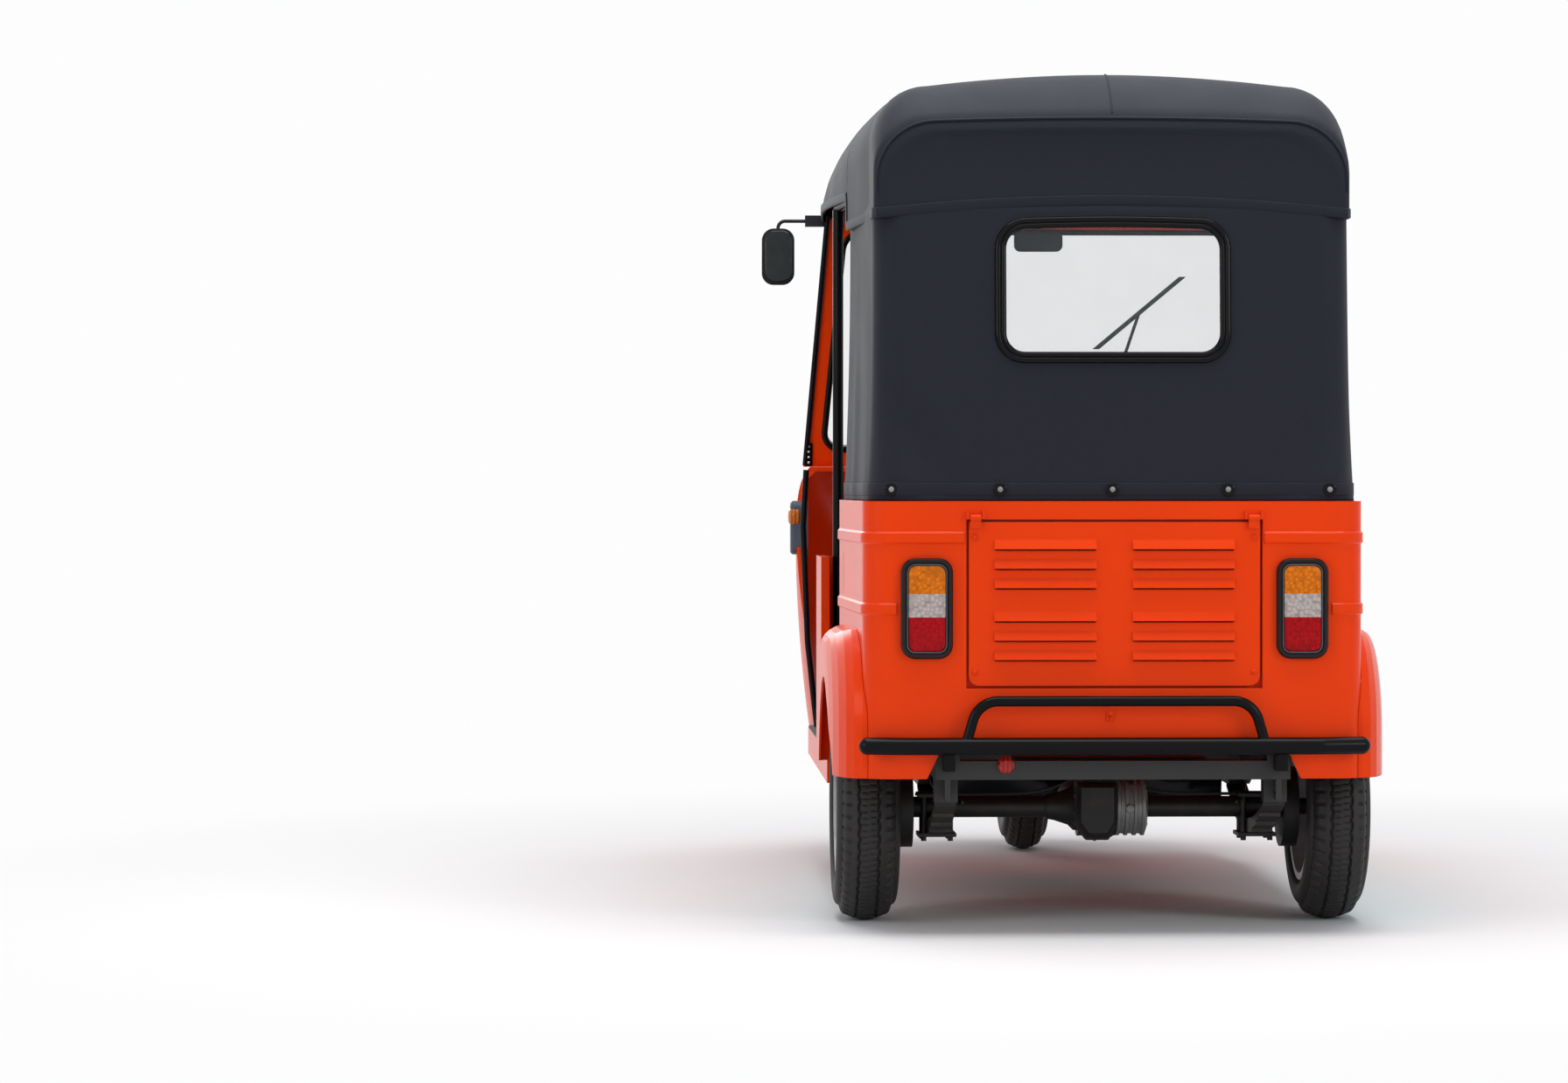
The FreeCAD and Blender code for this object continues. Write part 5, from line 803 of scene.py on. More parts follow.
def curtain_points(rows, columns):
    """Curtain grid: a U round the body's rear, straight at first, then flared, with soft folds."""
    top, hem = CURTAIN_HIGH.z + 0.026, CURTAIN_LOW.z
    radius = sizes().curtain_corner
    loop = curtain_loop(sizes().canopy_rear_half_width, radius, columns)
    share = np.linspace(0, 1, rows)[:, None]
    flare = 0.1 * share + 0.9 * share ** 2.6
    widen = 1 + (sizes().curtain_hem_half_width / sizes().canopy_rear_half_width - 1) * flare
    ahead = np.clip((loop[:, 1] - radius) / (CURTAIN_HIGH.y - CANOPY_LOW.y - radius), 0, 1)[None]
    x = loop[None, :, 0] * widen + np.sign(loop[None, :, 0]) * sizes().curtain_spread * ahead
    rear = CANOPY_LOW.y + (CURTAIN_LOW.y - CANOPY_LOW.y) * share
    y = rear + loop[None, :, 1] * (CURTAIN_HIGH.y - rear) / (CURTAIN_HIGH.y - CANOPY_LOW.y)
    z = top + (hem - top) * share + 0 * x
    run = np.linspace(-1, 1, columns)[None]
    near_corner = np.exp(-((np.abs(run) - 0.52) / 0.1) ** 2) + np.exp(-((np.abs(run) - 0.8) / 0.1) ** 2)
    folds = np.sin(np.abs(run) * 30 + 3 * share) * near_corner * share ** 1.6
    near_hem = np.exp(-((np.abs(x) - 0.43) / 0.07) ** 2) * share ** 2
    pull = np.sin(np.abs(x) * 26 + 10 * share ** 2) * near_hem * 1.3
    y = y - sizes().fold_depth * (folds + pull * (run ** 2 < 0.3))
    x = x + np.sign(x) * sizes().fold_depth * folds * (np.abs(run) > 0.45)
    tuck = 0.006 * (1 - np.clip(share * rows / 4, 0, 1))
    x = x - np.sign(x) * tuck * (np.abs(x) > 0.3)
    return np.stack([x, y + tuck, z], -1)


def curtain_loop(half, radius, columns):
    """Plan of the curtain from its left front edge, round two corners, to its right front edge."""
    depth = CURTAIN_HIGH.y - CANOPY_LOW.y
    angle = np.linspace(0, math.pi / 2, 12)
    corner = np.stack([half - radius + radius * np.cos(angle), radius - radius * np.sin(angle)], -1)
    right = np.vstack([[[half, depth]], corner])
    left = right[::-1] * [-1, 1]
    return spaced(np.vstack([left[::-1], right[::-1]]), columns)


def window_place(a, b, c):
    """Point of the rear window: a across, b up from its middle, c out from the cloth."""
    z = WINDOW_MIDDLE + b
    share = (CURTAIN_HIGH.z - z) / (CURTAIN_HIGH.z - CURTAIN_LOW.z)
    y = CANOPY_LOW.y + (CURTAIN_LOW.y - CANOPY_LOW.y) * share - c
    return np.stack([a, y, z], -1)


class Curtain(bpy.types.Operator):
    """Hang the rear curtain with its hem, window opening and turn buttons"""

    bl_idname = "taxi.curtain"
    bl_label = "Rear curtain"

    def execute(self, context):
        points = curtain_points(*CURTAIN_GRID)
        uv = surface_metres(points)
        wide, tall = sizes().window_width, sizes().window_height
        centre = (points[:-1, :-1] + points[1:, 1:]) / 2
        spread = sizes().window_corner + WINDOW_MARGIN
        reach_x = np.clip(np.abs(centre[..., 0]) - (wide / 2 + WINDOW_MARGIN - spread), 0, None)
        above = np.abs(centre[..., 2] - WINDOW_MIDDLE)
        reach_z = np.clip(above - (tall / 2 + WINDOW_MARGIN - spread), 0, None)
        inside = (np.hypot(reach_x, reach_z) < spread) & (centre[..., 1] < CANOPY_LOW.y + 0.02)
        curtain = surface("curtain_cloth", points, uv=uv, kept=~inside)
        thicken(curtain, sizes().cloth_thickness)
        dress(curtain, "body", "canopy_cloth", sharp=CLOTH_SHARP)
        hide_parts("rear_curtain")
        hem = corners_of(0.0035, sizes().hem_width, 0.0016, 4)
        hem_line = points[-5]
        band_piece = swept("curtain_hem", spaced(hem_line, 260), hem, UP)
        dress(band_piece, "body", "canopy_cloth")
        self.buttons(hem_line)
        return {"FINISHED"}

    def buttons(self, hem_line):
        """Turn buttons: a dark washer and a domed post, spaced along the hem's rear."""
        washers, posts = [], []
        for place in BUTTON_PLACES:
            index = int(np.argmin(np.abs(hem_line[:, 0] - place) + (hem_line[:, 1] > CURTAIN_LOW.y + 0.06)))
            spot = hem_line[index] + [0, -0.0035, 0]
            washers.append(turned("washer", dome(0.0145, 0.002, 0.002), spot, BACK, 24))
            posts.append(turned("post", dome(0.006, 0.003, 0.0035), spot, BACK, 20))
        dress(joined("curtain_washers", washers), "body", "seal_rubber")
        dress(joined("curtain_posts", posts), "body", "black_plastic", "cast_alloy")


class RearWindow(bpy.types.Operator):
    """Fit the clear window and its rubber seal"""

    bl_idname = "taxi.rear_window"
    bl_label = "Rear window"

    def execute(self, context):
        wide, tall = sizes().window_width, sizes().window_height
        corners = corners_of(wide + 2 * WINDOW_MARGIN, tall + 2 * WINDOW_MARGIN,
                             sizes().window_corner + WINDOW_MARGIN, 10)
        flat = spaced(corners, 160, closed=True)[None] * np.linspace(0, 1, 16)[:, None, None]
        ripple = 0.0006 * np.sin(flat[..., 0] * 40) * np.sin(flat[..., 1] * 55)
        points = window_place(flat[..., 0], flat[..., 1], 0.001 + ripple)
        film = surface("window_film", points, close_columns=True)
        thicken(film, 0.0015)
        dress(film, "body", "window_film")
        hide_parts("rear_window")
        self.seal(wide, tall)
        return {"FINISHED"}

    def seal(self, wide, tall):
        """Seal: a rubber section with a proud outer bead and a locking strip, carried round the window."""
        middle = 0.0115
        corners = corners_of(wide + 2 * middle, tall + 2 * middle, sizes().window_corner + middle, 12)
        loop = spaced(corners, 220, closed=True)
        crown = 0.006 * (1 - (loop[:, 0] / (wide / 2 + middle)) ** 2) * (loop[:, 1] > 0)
        path = window_place(loop[:, 0], loop[:, 1] + np.clip(crown, 0, None), 0.001)
        across = np.linspace(-1, 1, 25)
        bead = 0.0075 * np.sqrt(np.clip(1 - across ** 4, 0, 1))
        strip = 0.0028 * np.exp(-((across + 0.05) / 0.14) ** 2)
        face = np.stack([across * 0.0122, bead - strip], -1)
        profile = np.vstack([face, [[0.0122, -0.003], [-0.0122, -0.003]]])
        seal = swept("window_seal", path, profile[::-1], BACK, closed=True)
        dress(seal, "body", "seal_rubber")
        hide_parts("window_gasket")


# Seats

PAD_INSET = 0.006
PAD_CROWN = 0.004
PUFF_LIMIT = 0.006
STUFFING_FRAMES = 20
CHANNEL_DEPTH = 0.008


def pad_shape(name, low, high, crown):
    """Cushion form: a box whose corners follow a superellipse and whose top swells by a crown."""
    centre, half = (low + high) / 2, (high - low) / 2
    work = bmesh.new()
    bmesh.ops.create_cube(work, size=2.0)
    bmesh.ops.subdivide_edges(work, edges=work.edges, cuts=14, use_grid_fill=True)
    mesh = bpy.data.meshes.new(name)
    work.to_mesh(mesh)
    work.free()
    points = np.zeros(len(mesh.vertices) * 3)
    mesh.vertices.foreach_get("co", points)
    points = points.reshape(-1, 3)
    radius = min(half) * 0.55
    inner = np.clip(points * half, -(half - radius), half - radius)
    away = points * half - inner
    length = np.maximum(np.linalg.norm(away, axis=1)[:, None], 1e-9)
    rounded = inner + away / length * np.minimum(length, radius)
    rounded[:, 2] += crown * (1 - points[:, 0] ** 2) * (1 - points[:, 1] ** 2) * (points[:, 2] > 0)
    mesh.vertices.foreach_set("co", (rounded + centre).ravel())
    mesh.update()
    piece = bpy.data.objects.new(name, mesh)
    bpy.context.scene.collection.objects.link(piece)
    return piece


def puffed(piece, voxel, cap):
    """Stuff a pad: even mesh, cloth blown up by pressure, no point moved further than the cap, then fixed."""
    remesh = piece.modifiers.new("Even", "REMESH")
    remesh.mode = "VOXEL"
    remesh.voxel_size = voxel
    bake_modifiers(piece)
    before = read_points(piece)
    cloth = piece.modifiers.new("Stuffing", "CLOTH")
    cloth.settings.use_pressure = True
    cloth.settings.uniform_pressure_force = 4.0
    cloth.settings.effector_weights.gravity = 0.0
    cloth.settings.quality = 5
    cloth.settings.tension_stiffness = 15
    cloth.settings.compression_stiffness = 15
    cloth.collision_settings.use_collision = False
    cloth.point_cache.frame_start = 1
    cloth.point_cache.frame_end = STUFFING_FRAMES
    scene = bpy.context.scene
    for number in range(1, STUFFING_FRAMES + 1):
        scene.frame_set(number)
    bake_modifiers(piece)
    scene.frame_set(1)
    after = read_points(piece)
    move = after - before
    length = np.maximum(np.linalg.norm(move, axis=1)[:, None], 1e-9)
    write_points(piece, before + move * np.minimum(1, cap / length))
    return piece


def bake_modifiers(piece):
    """Turn the live modifiers into the mesh itself."""
    graph = bpy.context.evaluated_depsgraph_get()
    mesh = bpy.data.meshes.new_from_object(piece.evaluated_get(graph))
    piece.modifiers.clear()
    piece.data = mesh


def read_points(piece):
    """The points of a piece's mesh."""
    points = np.zeros(len(piece.data.vertices) * 3)
    piece.data.vertices.foreach_get("co", points)
    return points.reshape(-1, 3)


def write_points(piece, points):
    """Move the points of a piece's mesh."""
    piece.data.vertices.foreach_set("co", points.ravel())
    piece.data.update()


def channels(piece, axis, face, side, pitch, depth, low, high):
    """Sewn channels: across the pad's outer face the surface dips by depth at each seam, as a narrow bell."""
    points = read_points(piece)
    reach = (high[face] - low[face]) / 2
    middle = (high[face] + low[face]) / 2
    outward = np.clip((points[:, face] - middle) * side / reach, 0, 1)
    count = max(1, round((high[axis] - low[axis]) / pitch))
    seams = np.linspace(low[axis], high[axis], count + 1)[1:-1]
    away = np.abs(points[:, axis, None] - seams[None]).min(1)
    points[:, face] -= side * depth * np.exp(-(away / 0.009) ** 2) * outward ** 2
    write_points(piece, points)


class Seats(bpy.types.Operator):
    """Pad the driver's seat and the passengers' bench"""

    bl_idname = "taxi.seats"
    bl_label = "Seats"

    def execute(self, context):
        plans = (
            ("driver_seat_cushion", 2, 1, 0, 0.078),
            ("driver_seat_back", 1, 1, 0, 0.078),
            ("passenger_seat_cushion", 2, 1, 0, 0.1),
            ("passenger_seat_back", 1, 1, 0, 0.1),
        )
        for plan in plans:
            self.pad(*plan)
        return {"FINISHED"}

    def pad(self, node, face, side, axis, pitch):
        """Pad with channels across its outer face (an axis and a side of it) and piping round that face."""
        low, high = (np.array(corner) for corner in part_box(node))
        shape = pad_shape(node.replace("_seat", "") + "_pad", low + PAD_INSET, high - PAD_INSET, PAD_CROWN)
        puffed(shape, 0.009, PUFF_LIMIT)
        channels(shape, axis, face, side, pitch, CHANNEL_DEPTH, low, high)
        smooth = shape.modifiers.new("Smooth", "SUBSURF")
        smooth.levels = smooth.render_levels = 1
        dress(shape, "body", "seat_cover", sharp=math.radians(80))
        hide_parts(node)
        piping = self.piping(shape, low, high, face, side)
        dress(piping, "body", "seat_cover")

    def piping(self, shape, low, high, face, side):
        """Piping: a round cord laid on the pad where its outer face turns into its edge."""
        others = [index for index in range(3) if index != face]
        wide, tall = (high - low)[others] - 0.03
        loop = spaced(corners_of(wide, tall, 0.03, 8), 150, closed=True)
        centre = (low + high) / 2
        start = np.zeros((len(loop), 3))
        start[:, others] = loop + centre[others]
        start[:, face] = (high if side > 0 else low)[face] - side * 0.014
        tree = BVHTree.FromObject(shape, bpy.context.evaluated_depsgraph_get())
        path = np.array([tree.find_nearest(Vector(point))[0] for point in start])
        up = np.zeros(3)
        up[face] = side
        return swept(shape.name + "_piping", path, ring_of(0.0035, 8), up, closed=True)


# Tyres

BEAD_SEAT = 0.1523
BEAD_FLANGE = 0.1673
WALL_BULGE = 0.014
SHOULDER_DROP = 0.03
SHOULDER_RISE = 0.02


def tyre_profile(half, radius, count):
    """Half section of a tyre from bead to bead: straight bead, bulging wall, rounded shoulder, low crown."""
    shoulder_low = radius - SHOULDER_DROP
    edge = half - WALL_BULGE
    wall_angle = np.linspace(-1, 1, 14)
    wall = np.stack([edge + WALL_BULGE * np.sqrt(np.clip(1 - wall_angle ** 2, 0, 1)) * 0.97,
                     (BEAD_FLANGE + shoulder_low) / 2 + (shoulder_low - BEAD_FLANGE) / 2 * wall_angle], -1)
    turn = np.linspace(0, math.pi / 2, 8)[1:]
    inner = edge - WALL_BULGE
    shoulder = np.stack([inner + WALL_BULGE * np.cos(turn), shoulder_low + SHOULDER_RISE * np.sin(turn)], -1)
    across = np.linspace(inner, 0, 12)[1:]
    fall = radius - shoulder_low - SHOULDER_RISE
    crown = np.stack([across, radius - fall * (across / inner) ** 2], -1)
    bead = [[edge, BEAD_SEAT], [edge, BEAD_FLANGE]]
    right = np.vstack([bead, wall[1:-1], [[edge, shoulder_low]], shoulder, crown])
    left = right[:-1][::-1] * [-1, 1]
    return spaced(np.vstack([right, left]), count)


def groove(distance, width):
    """One inside a groove, falling smoothly to nothing at its walls."""
    return np.clip(1.5 - np.abs(distance) / width * 1.5, 0, 1) ** 0.5


def tread_depths(across, angle, half):
    """Tread cut by two zigzag grooves round the tyre, slanted shoulder slots and fine cuts in the ribs."""
    share = across / half
    pitch = sizes().tread_pitches
    phase = angle * pitch / TAU
    zigzag = np.abs((phase % 1) - 0.5) * 2
    depth = np.zeros(np.broadcast(across, angle).shape)
    for place in (-0.3, 0.3):
        depth = np.maximum(depth, groove(share - place - 0.05 * (zigzag - 0.5), 0.045))
    slant = (phase + 0.45 * np.abs(share)) % 1
    slots = groove(slant - 0.5, 0.14) * (np.abs(share) > 0.5)
    fine = groove(((phase * 2 + 0.8 * share) % 1) - 0.5, 0.1) * (np.abs(share) < 0.26) * 0.5
    depth = np.maximum(depth, np.maximum(slots * 0.85, fine))
    return depth * sizes().tread_depth * (np.abs(share) < 0.93)


def tyre(name, centre, half, radius):
    """Tyre: its section turned about the axle, its tread pressed in by the depth of the pattern."""
    around, count = 540, 96
    outline = tyre_profile(half, radius, count)
    angle = np.arange(around) * TAU / around
    on_tread = outline[:, 1] > radius - SHOULDER_DROP
    depth = tread_depths(outline[None, :, 0], angle[:, None], half) * on_tread[None]
    reach = outline[None, :, 1] - depth
    points = np.stack([np.repeat(outline[None, :, 0], around, 0), reach * np.cos(angle)[:, None],
                       reach * np.sin(angle)[:, None]], -1) + np.array(centre)
    return surface(name, points, close_rows=True, close_columns=True)


class Tyres(bpy.types.Operator):
    """Mould the three tyres with their tread"""

    bl_idname = "taxi.tyres"
    bl_label = "Tyres"

    def execute(self, context):
        plans = (("rear_tyre_left", "rear_wheel_left"), ("rear_tyre_right", "rear_wheel_right"),
                 ("front_tyre", "front_wheel"))
        for node, body in plans:
            low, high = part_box(node)
            centre = (low + high) / 2
            made = tyre(node + "_tread", centre, (high.x - low.x) / 2, (high.z - low.z) / 2)
            dress(made, body, "tyre_rubber", sharp=math.radians(50))
            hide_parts(node)
        return {"FINISHED"}


# Fittings

TAIL_LAMP_X = 0.398
HEADLAMP_X, HEADLAMP_HEIGHT = 0.28, 0.7
LOW_LAMP_X, LOW_LAMP_HEIGHT = -0.229, 0.362
LID_FACE = REAR_AXLE - 0.42
LID_SCREW_X = 0.296
LID_SCREW_HEIGHTS = (0.8447, 0.5603)
CATCH_X = -0.009
REAR_DISC_X, FRONT_DISC_X, HUB_X = 0.5345, 0.0245, 0.5405
NUT_CIRCLE = 0.072
VALVE_CIRCLE = 0.132
MIRROR_X, MIRROR_HEIGHT = 0.654, 1.53


def pod(name, centre, half, power=0.5, steps=24):
    """Rounded block: centre + half * (signed powers of cos and sin over a sphere's two angles)."""
    rise = np.linspace(-math.pi / 2, math.pi / 2, steps)[:, None]
    turn = np.arange(2 * steps)[None] * TAU / (2 * steps)

    def curve(value):
        return np.sign(value) * np.abs(value) ** power

    unit = np.stack([curve(np.cos(rise)) * curve(np.cos(turn)), curve(np.cos(rise)) * curve(np.sin(turn)),
                     curve(np.sin(rise)) + 0 * turn], -1)
    return surface(name, unit * np.array(half) + np.array(centre), close_columns=True)


def hexagon(name, centre, axis, radius=0.0085, height=0.007):
    """Six-sided nut with a chamfered top, on a washer."""
    outline = [[0.0, 0.0], [radius, 0.0], [radius, height * 0.8], [radius * 0.86, height], [0.0, height]]
    nut = turned(name, outline, np.array(centre, float) + np.array(axis) * 0.0015, axis, 6)
    washer = turned(name, dome(radius * 1.5, 0.0004, 0.0015), centre, axis, 24)
    return [nut, washer]


def crowned(name, loop, place, height):
    """Lens over a loop: shrinking loops whose height is height * (1 - share ^ 4) ^ 0.4, on a short edge."""
    share = np.r_[np.linspace(0, 0.9, 14), np.linspace(0.92, 1, 5), 1.0]
    lift = height * np.clip(1 - share ** 4.0, 0, 1) ** 0.4
    lift[-1] = -0.012
    rows = [np.c_[loop * part, np.full(len(loop), level)] for part, level in zip(share, lift)]
    return surface(name, place(np.stack(rows)), close_columns=True)


def facing(centre):
    """Placement of (a, b, out) points at a centre, facing rearwards."""
    return lambda points: points[..., [0, 2, 1]] * np.array((1, -1, 1)) + np.array(centre)


class Lamps(bpy.types.Operator):
    """Fit the tail lamps, the headlamps, the turn lamps and the low red lamp"""

    bl_idname = "taxi.lamps"
    bl_label = "Lamps"

    def execute(self, context):
        self.tail_lamps()
        self.headlamps()
        self.turn_lamps()
        place = (LOW_LAMP_X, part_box("chassis_frame")[0].y, LOW_LAMP_HEIGHT)
        low = turned("low_lamp", dome(0.018, 0.006, 0.008), place, BACK, 32)
        dress(low, "body", "lamp_lens", "red_lens")
        return {"FINISHED"}

    def tail_lamps(self):
        """Tail lamps: a deep bezel, a thin bright lip, a dark gap and a crowned lens with round corners."""
        low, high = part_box("tail_lamp_bezels")
        middle, back = (low.z + high.z) / 2, high.y
        bezels, lips, lenses = [], [], []
        rim = [(-0.0065, 0), (0.0065, 0), (0.0065, 0.011), (0.003, 0.0155), (-0.003, 0.0155),
               (-0.0065, 0.010)]
        lip = [(-0.0014, 0), (0.0014, 0), (0.0014, 0.0145), (0, 0.0158), (-0.0014, 0.0145)]
        for side in (-1, 1):
            centre = np.array((side * TAIL_LAMP_X, back, middle))
            for made, inset, section in ((bezels, 0.0065, rim), (lips, 0.0135, lip)):
                loop = spaced(corners_of(0.11 - 2 * inset, 0.213 - 2 * inset, 0.03 - inset, 10), 120, True)
                path = facing(centre)(np.c_[loop, np.zeros(len(loop))])
                made.append(swept("bezel", path, np.array(section, float), BACK, closed=True))
            loop = spaced(corners_of(0.079, 0.182, 0.016, 10), 120, True)
            lenses.append(crowned("lens", loop, facing(centre + [0, -0.012, 0]), 0.007))
            bezels.append(plate("floor", corners_of(0.098, 0.2, 0.02, 8), 0.0, 0.004, facing(centre)))
        bezel = dress(joined("tail_bezels", bezels), "body", "lamp_housing")
        dress(joined("tail_lips", lips), "body", "lamp_housing", "lamp_grey")
        lens = dress(joined("tail_lenses", lenses), "body", "lamp_lens")
        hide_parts("tail_lamp_bezels")
        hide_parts("tail_lamp_lenses")

    def headlamps(self):
        """Headlamps: a painted shell, a bright rim and a domed, ribbed glass."""
        low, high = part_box("headlamps")
        shells, rims, glasses = [], [], []
        for side in (-1, 1):
            centre = np.array((side * HEADLAMP_X, low.y, HEADLAMP_HEIGHT))
            depth = high.y - low.y
            shell = [[0.0, 0.0], [0.074, 0.0], [0.0765, 0.01], [0.0765, depth - 0.016], [0.0, depth - 0.016]]
            shells.append(turned("shell", shell, centre, (0, 1, 0), 64))
            outline = [[0.0, depth - 0.015], [0.077, depth - 0.015], [0.078, depth - 0.008],
                       [0.0755, depth - 0.001], [0.071, depth], [0.067, depth - 0.004], [0.0, depth - 0.006]]
            rims.append(turned("rim", outline, centre, (0, 1, 0), 64))
            front = centre + [0, depth - 0.0055, 0]
            glasses.append(turned("glass", dome(0.0665, 0.012, 0.0), front, (0, 1, 0), 64))
        dress(joined("headlamp_rims", rims), "body", "headlamp_lens")
        dress(joined("headlamp_glasses", glasses), "body", "headlamp_lens", "lamp_glass")
        shell = dress(joined("headlamp_shells", shells), "body", "body_paint")
        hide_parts("headlamps")

    def turn_lamps(self):
        """Turn lamps: an amber lens near the housing's top, facing rearwards and outwards."""
        low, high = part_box("side_indicators")
        lenses = [pod("amber", (side * (high.x - 0.011), (low.y + high.y) / 2 - 0.008, high.z - 0.04),
                      (0.017, 0.03, 0.022), 0.6) for side in (-1, 1)]
        dress(joined("turn_lenses", lenses), "body", "lamp_lens", "amber_lens")


class Fastenings(bpy.types.Operator):
    """Fit the screws, nuts, hub caps, latch screws and rubber edges"""

    bl_idname = "taxi.fastenings"
    bl_label = "Fastenings"

    def execute(self, context):
        self.lid_screws()
        self.wheel_nuts()
        self.plates()
        self.edges()
        return {"FINISHED"}

    def lid_screws(self):
        """Lid screws on their washers, and the catch below the lid."""
        screws = []
        for side in (-1, 1):
            for height in LID_SCREW_HEIGHTS:
                spot = (side * LID_SCREW_X, LID_FACE, height)
                screws.append(turned("screw", dome(0.0045, 0.003, 0.002), spot, BACK, 20))
                screws.append(turned("seat", dome(0.0085, 0.0006, 0.0008), spot, BACK, 24))
        dress(joined("lid_screws", screws), "lid", "body_paint")
        tab = corners_of(0.02, 0.026, 0.004, 5)
        catch = [plate("tab", tab, 0.0, 0.003, facing((CATCH_X, LID_FACE, 0.468)), 0.001)]
        catch += hexagon("bolt", (CATCH_X, LID_FACE - 0.003, 0.472), BACK, 0.0055, 0.005)
        catch.append(turned("pin", dome(0.003, 0.002, 0.01), (CATCH_X, LID_FACE - 0.005, 0.462), BACK, 14))
        dress(joined("lid_catch", catch), "body", "body_paint")

    def wheel_nuts(self):
        """Five nuts on every wheel disc, a domed cap on the rear hubs and a valve."""
        plans = (("rear_left", "rear_wheel_left", -REAR_DISC_X, -1),
                 ("rear_right", "rear_wheel_right", REAR_DISC_X, 1),
                 ("front", "front_wheel", FRONT_DISC_X, 1))
        for name, body, face, side in plans:
            line = FRONT_AXLE if name == "front" else REAR_AXLE
            made = []
            for angle in np.arange(5) * TAU / 5:
                spot = (face, line + NUT_CIRCLE * math.cos(angle), AXLE_HEIGHT + NUT_CIRCLE * math.sin(angle))
                made += hexagon("nut", spot, (side, 0, 0))
            if name != "front":
                cap = [[0.0, 0.0], [0.036, 0.0], [0.036, 0.004], [0.03, 0.008], [0.027, 0.018], [0.02, 0.022],
                       [0.0, 0.023]]
                made.append(turned("cap", cap, (side * HUB_X, line, AXLE_HEIGHT), (side, 0, 0), 48))
            spot = (face, line, AXLE_HEIGHT + VALVE_CIRCLE)
            made.append(turned("valve", dome(0.003, 0.002, 0.024), spot, (side, 0, 0), 12))
            dress(joined(name + "_nuts", made), body, "wheel_silver", "bright_metal")

    def plates(self):
        """Bright screw heads down each latch plate."""
        low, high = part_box("latch_plates")
        spots = [(side * (high.x - 0.01), low.y, height)
                 for side in (-1, 1) for height in np.linspace(low.z + 0.009, high.z - 0.009, 4)]
        heads = [turned("head", dome(0.0032, 0.002, 0.001), spot, BACK, 14) for spot in spots]
        dress(joined("latch_screws", heads), "body", "black_paint", "bright_metal")

    def edges(self):
        """Rubber edges: a strip up each rear edge of the cowl and of the windscreen's frame."""
        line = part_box("front_cowl")[0].y
        strips = []
        for side in (-1, 1):
            height = np.linspace(0.31, 0.992, 60)
            width = np.interp(height, [0.303, 0.56, 0.85, 1.0], [0.559, 0.587, 0.598, 0.59])
            path = np.stack([side * (width - 0.0055), np.full(60, line - 0.003), height], -1)
            strips.append(swept("strip", path, corners_of(0.015, 0.012, 0.004, 4), BACK))
            height = np.linspace(1.004, 1.632, 60)
            width = 0.586 - (height - 1.0) * (0.053 / 0.64)
            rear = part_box("windscreen_frame")[1].y - 0.0286 - (height - 1.0) * math.tan(math.radians(12))
            path = np.stack([side * (width - 0.004), rear - 0.003, height], -1)
            strips.append(swept("strip", path, corners_of(0.014, 0.01, 0.004, 4), BACK))
        dress(joined("cowl_rubber", strips), "body", "seal_rubber")


def pressed_on(node, starts, direction):
    """Points where straight lines from the starts first meet a sub-part, and the outward normals there."""
    tree = BVHTree.FromObject(frame["nodes"][node], bpy.context.evaluated_depsgraph_get())
    hits = [tree.ray_cast(Vector(start), Vector(direction)) for start in starts]
    if any(hit[0] is None for hit in hits):
        raise RuntimeError(f"a line misses {node}")
    places = np.array([hit[0] for hit in hits])
    normals = np.array([hit[1] for hit in hits])
    normals *= np.where(normals @ np.array(direction) > 0, -1, 1)[:, None]
    return places, normals


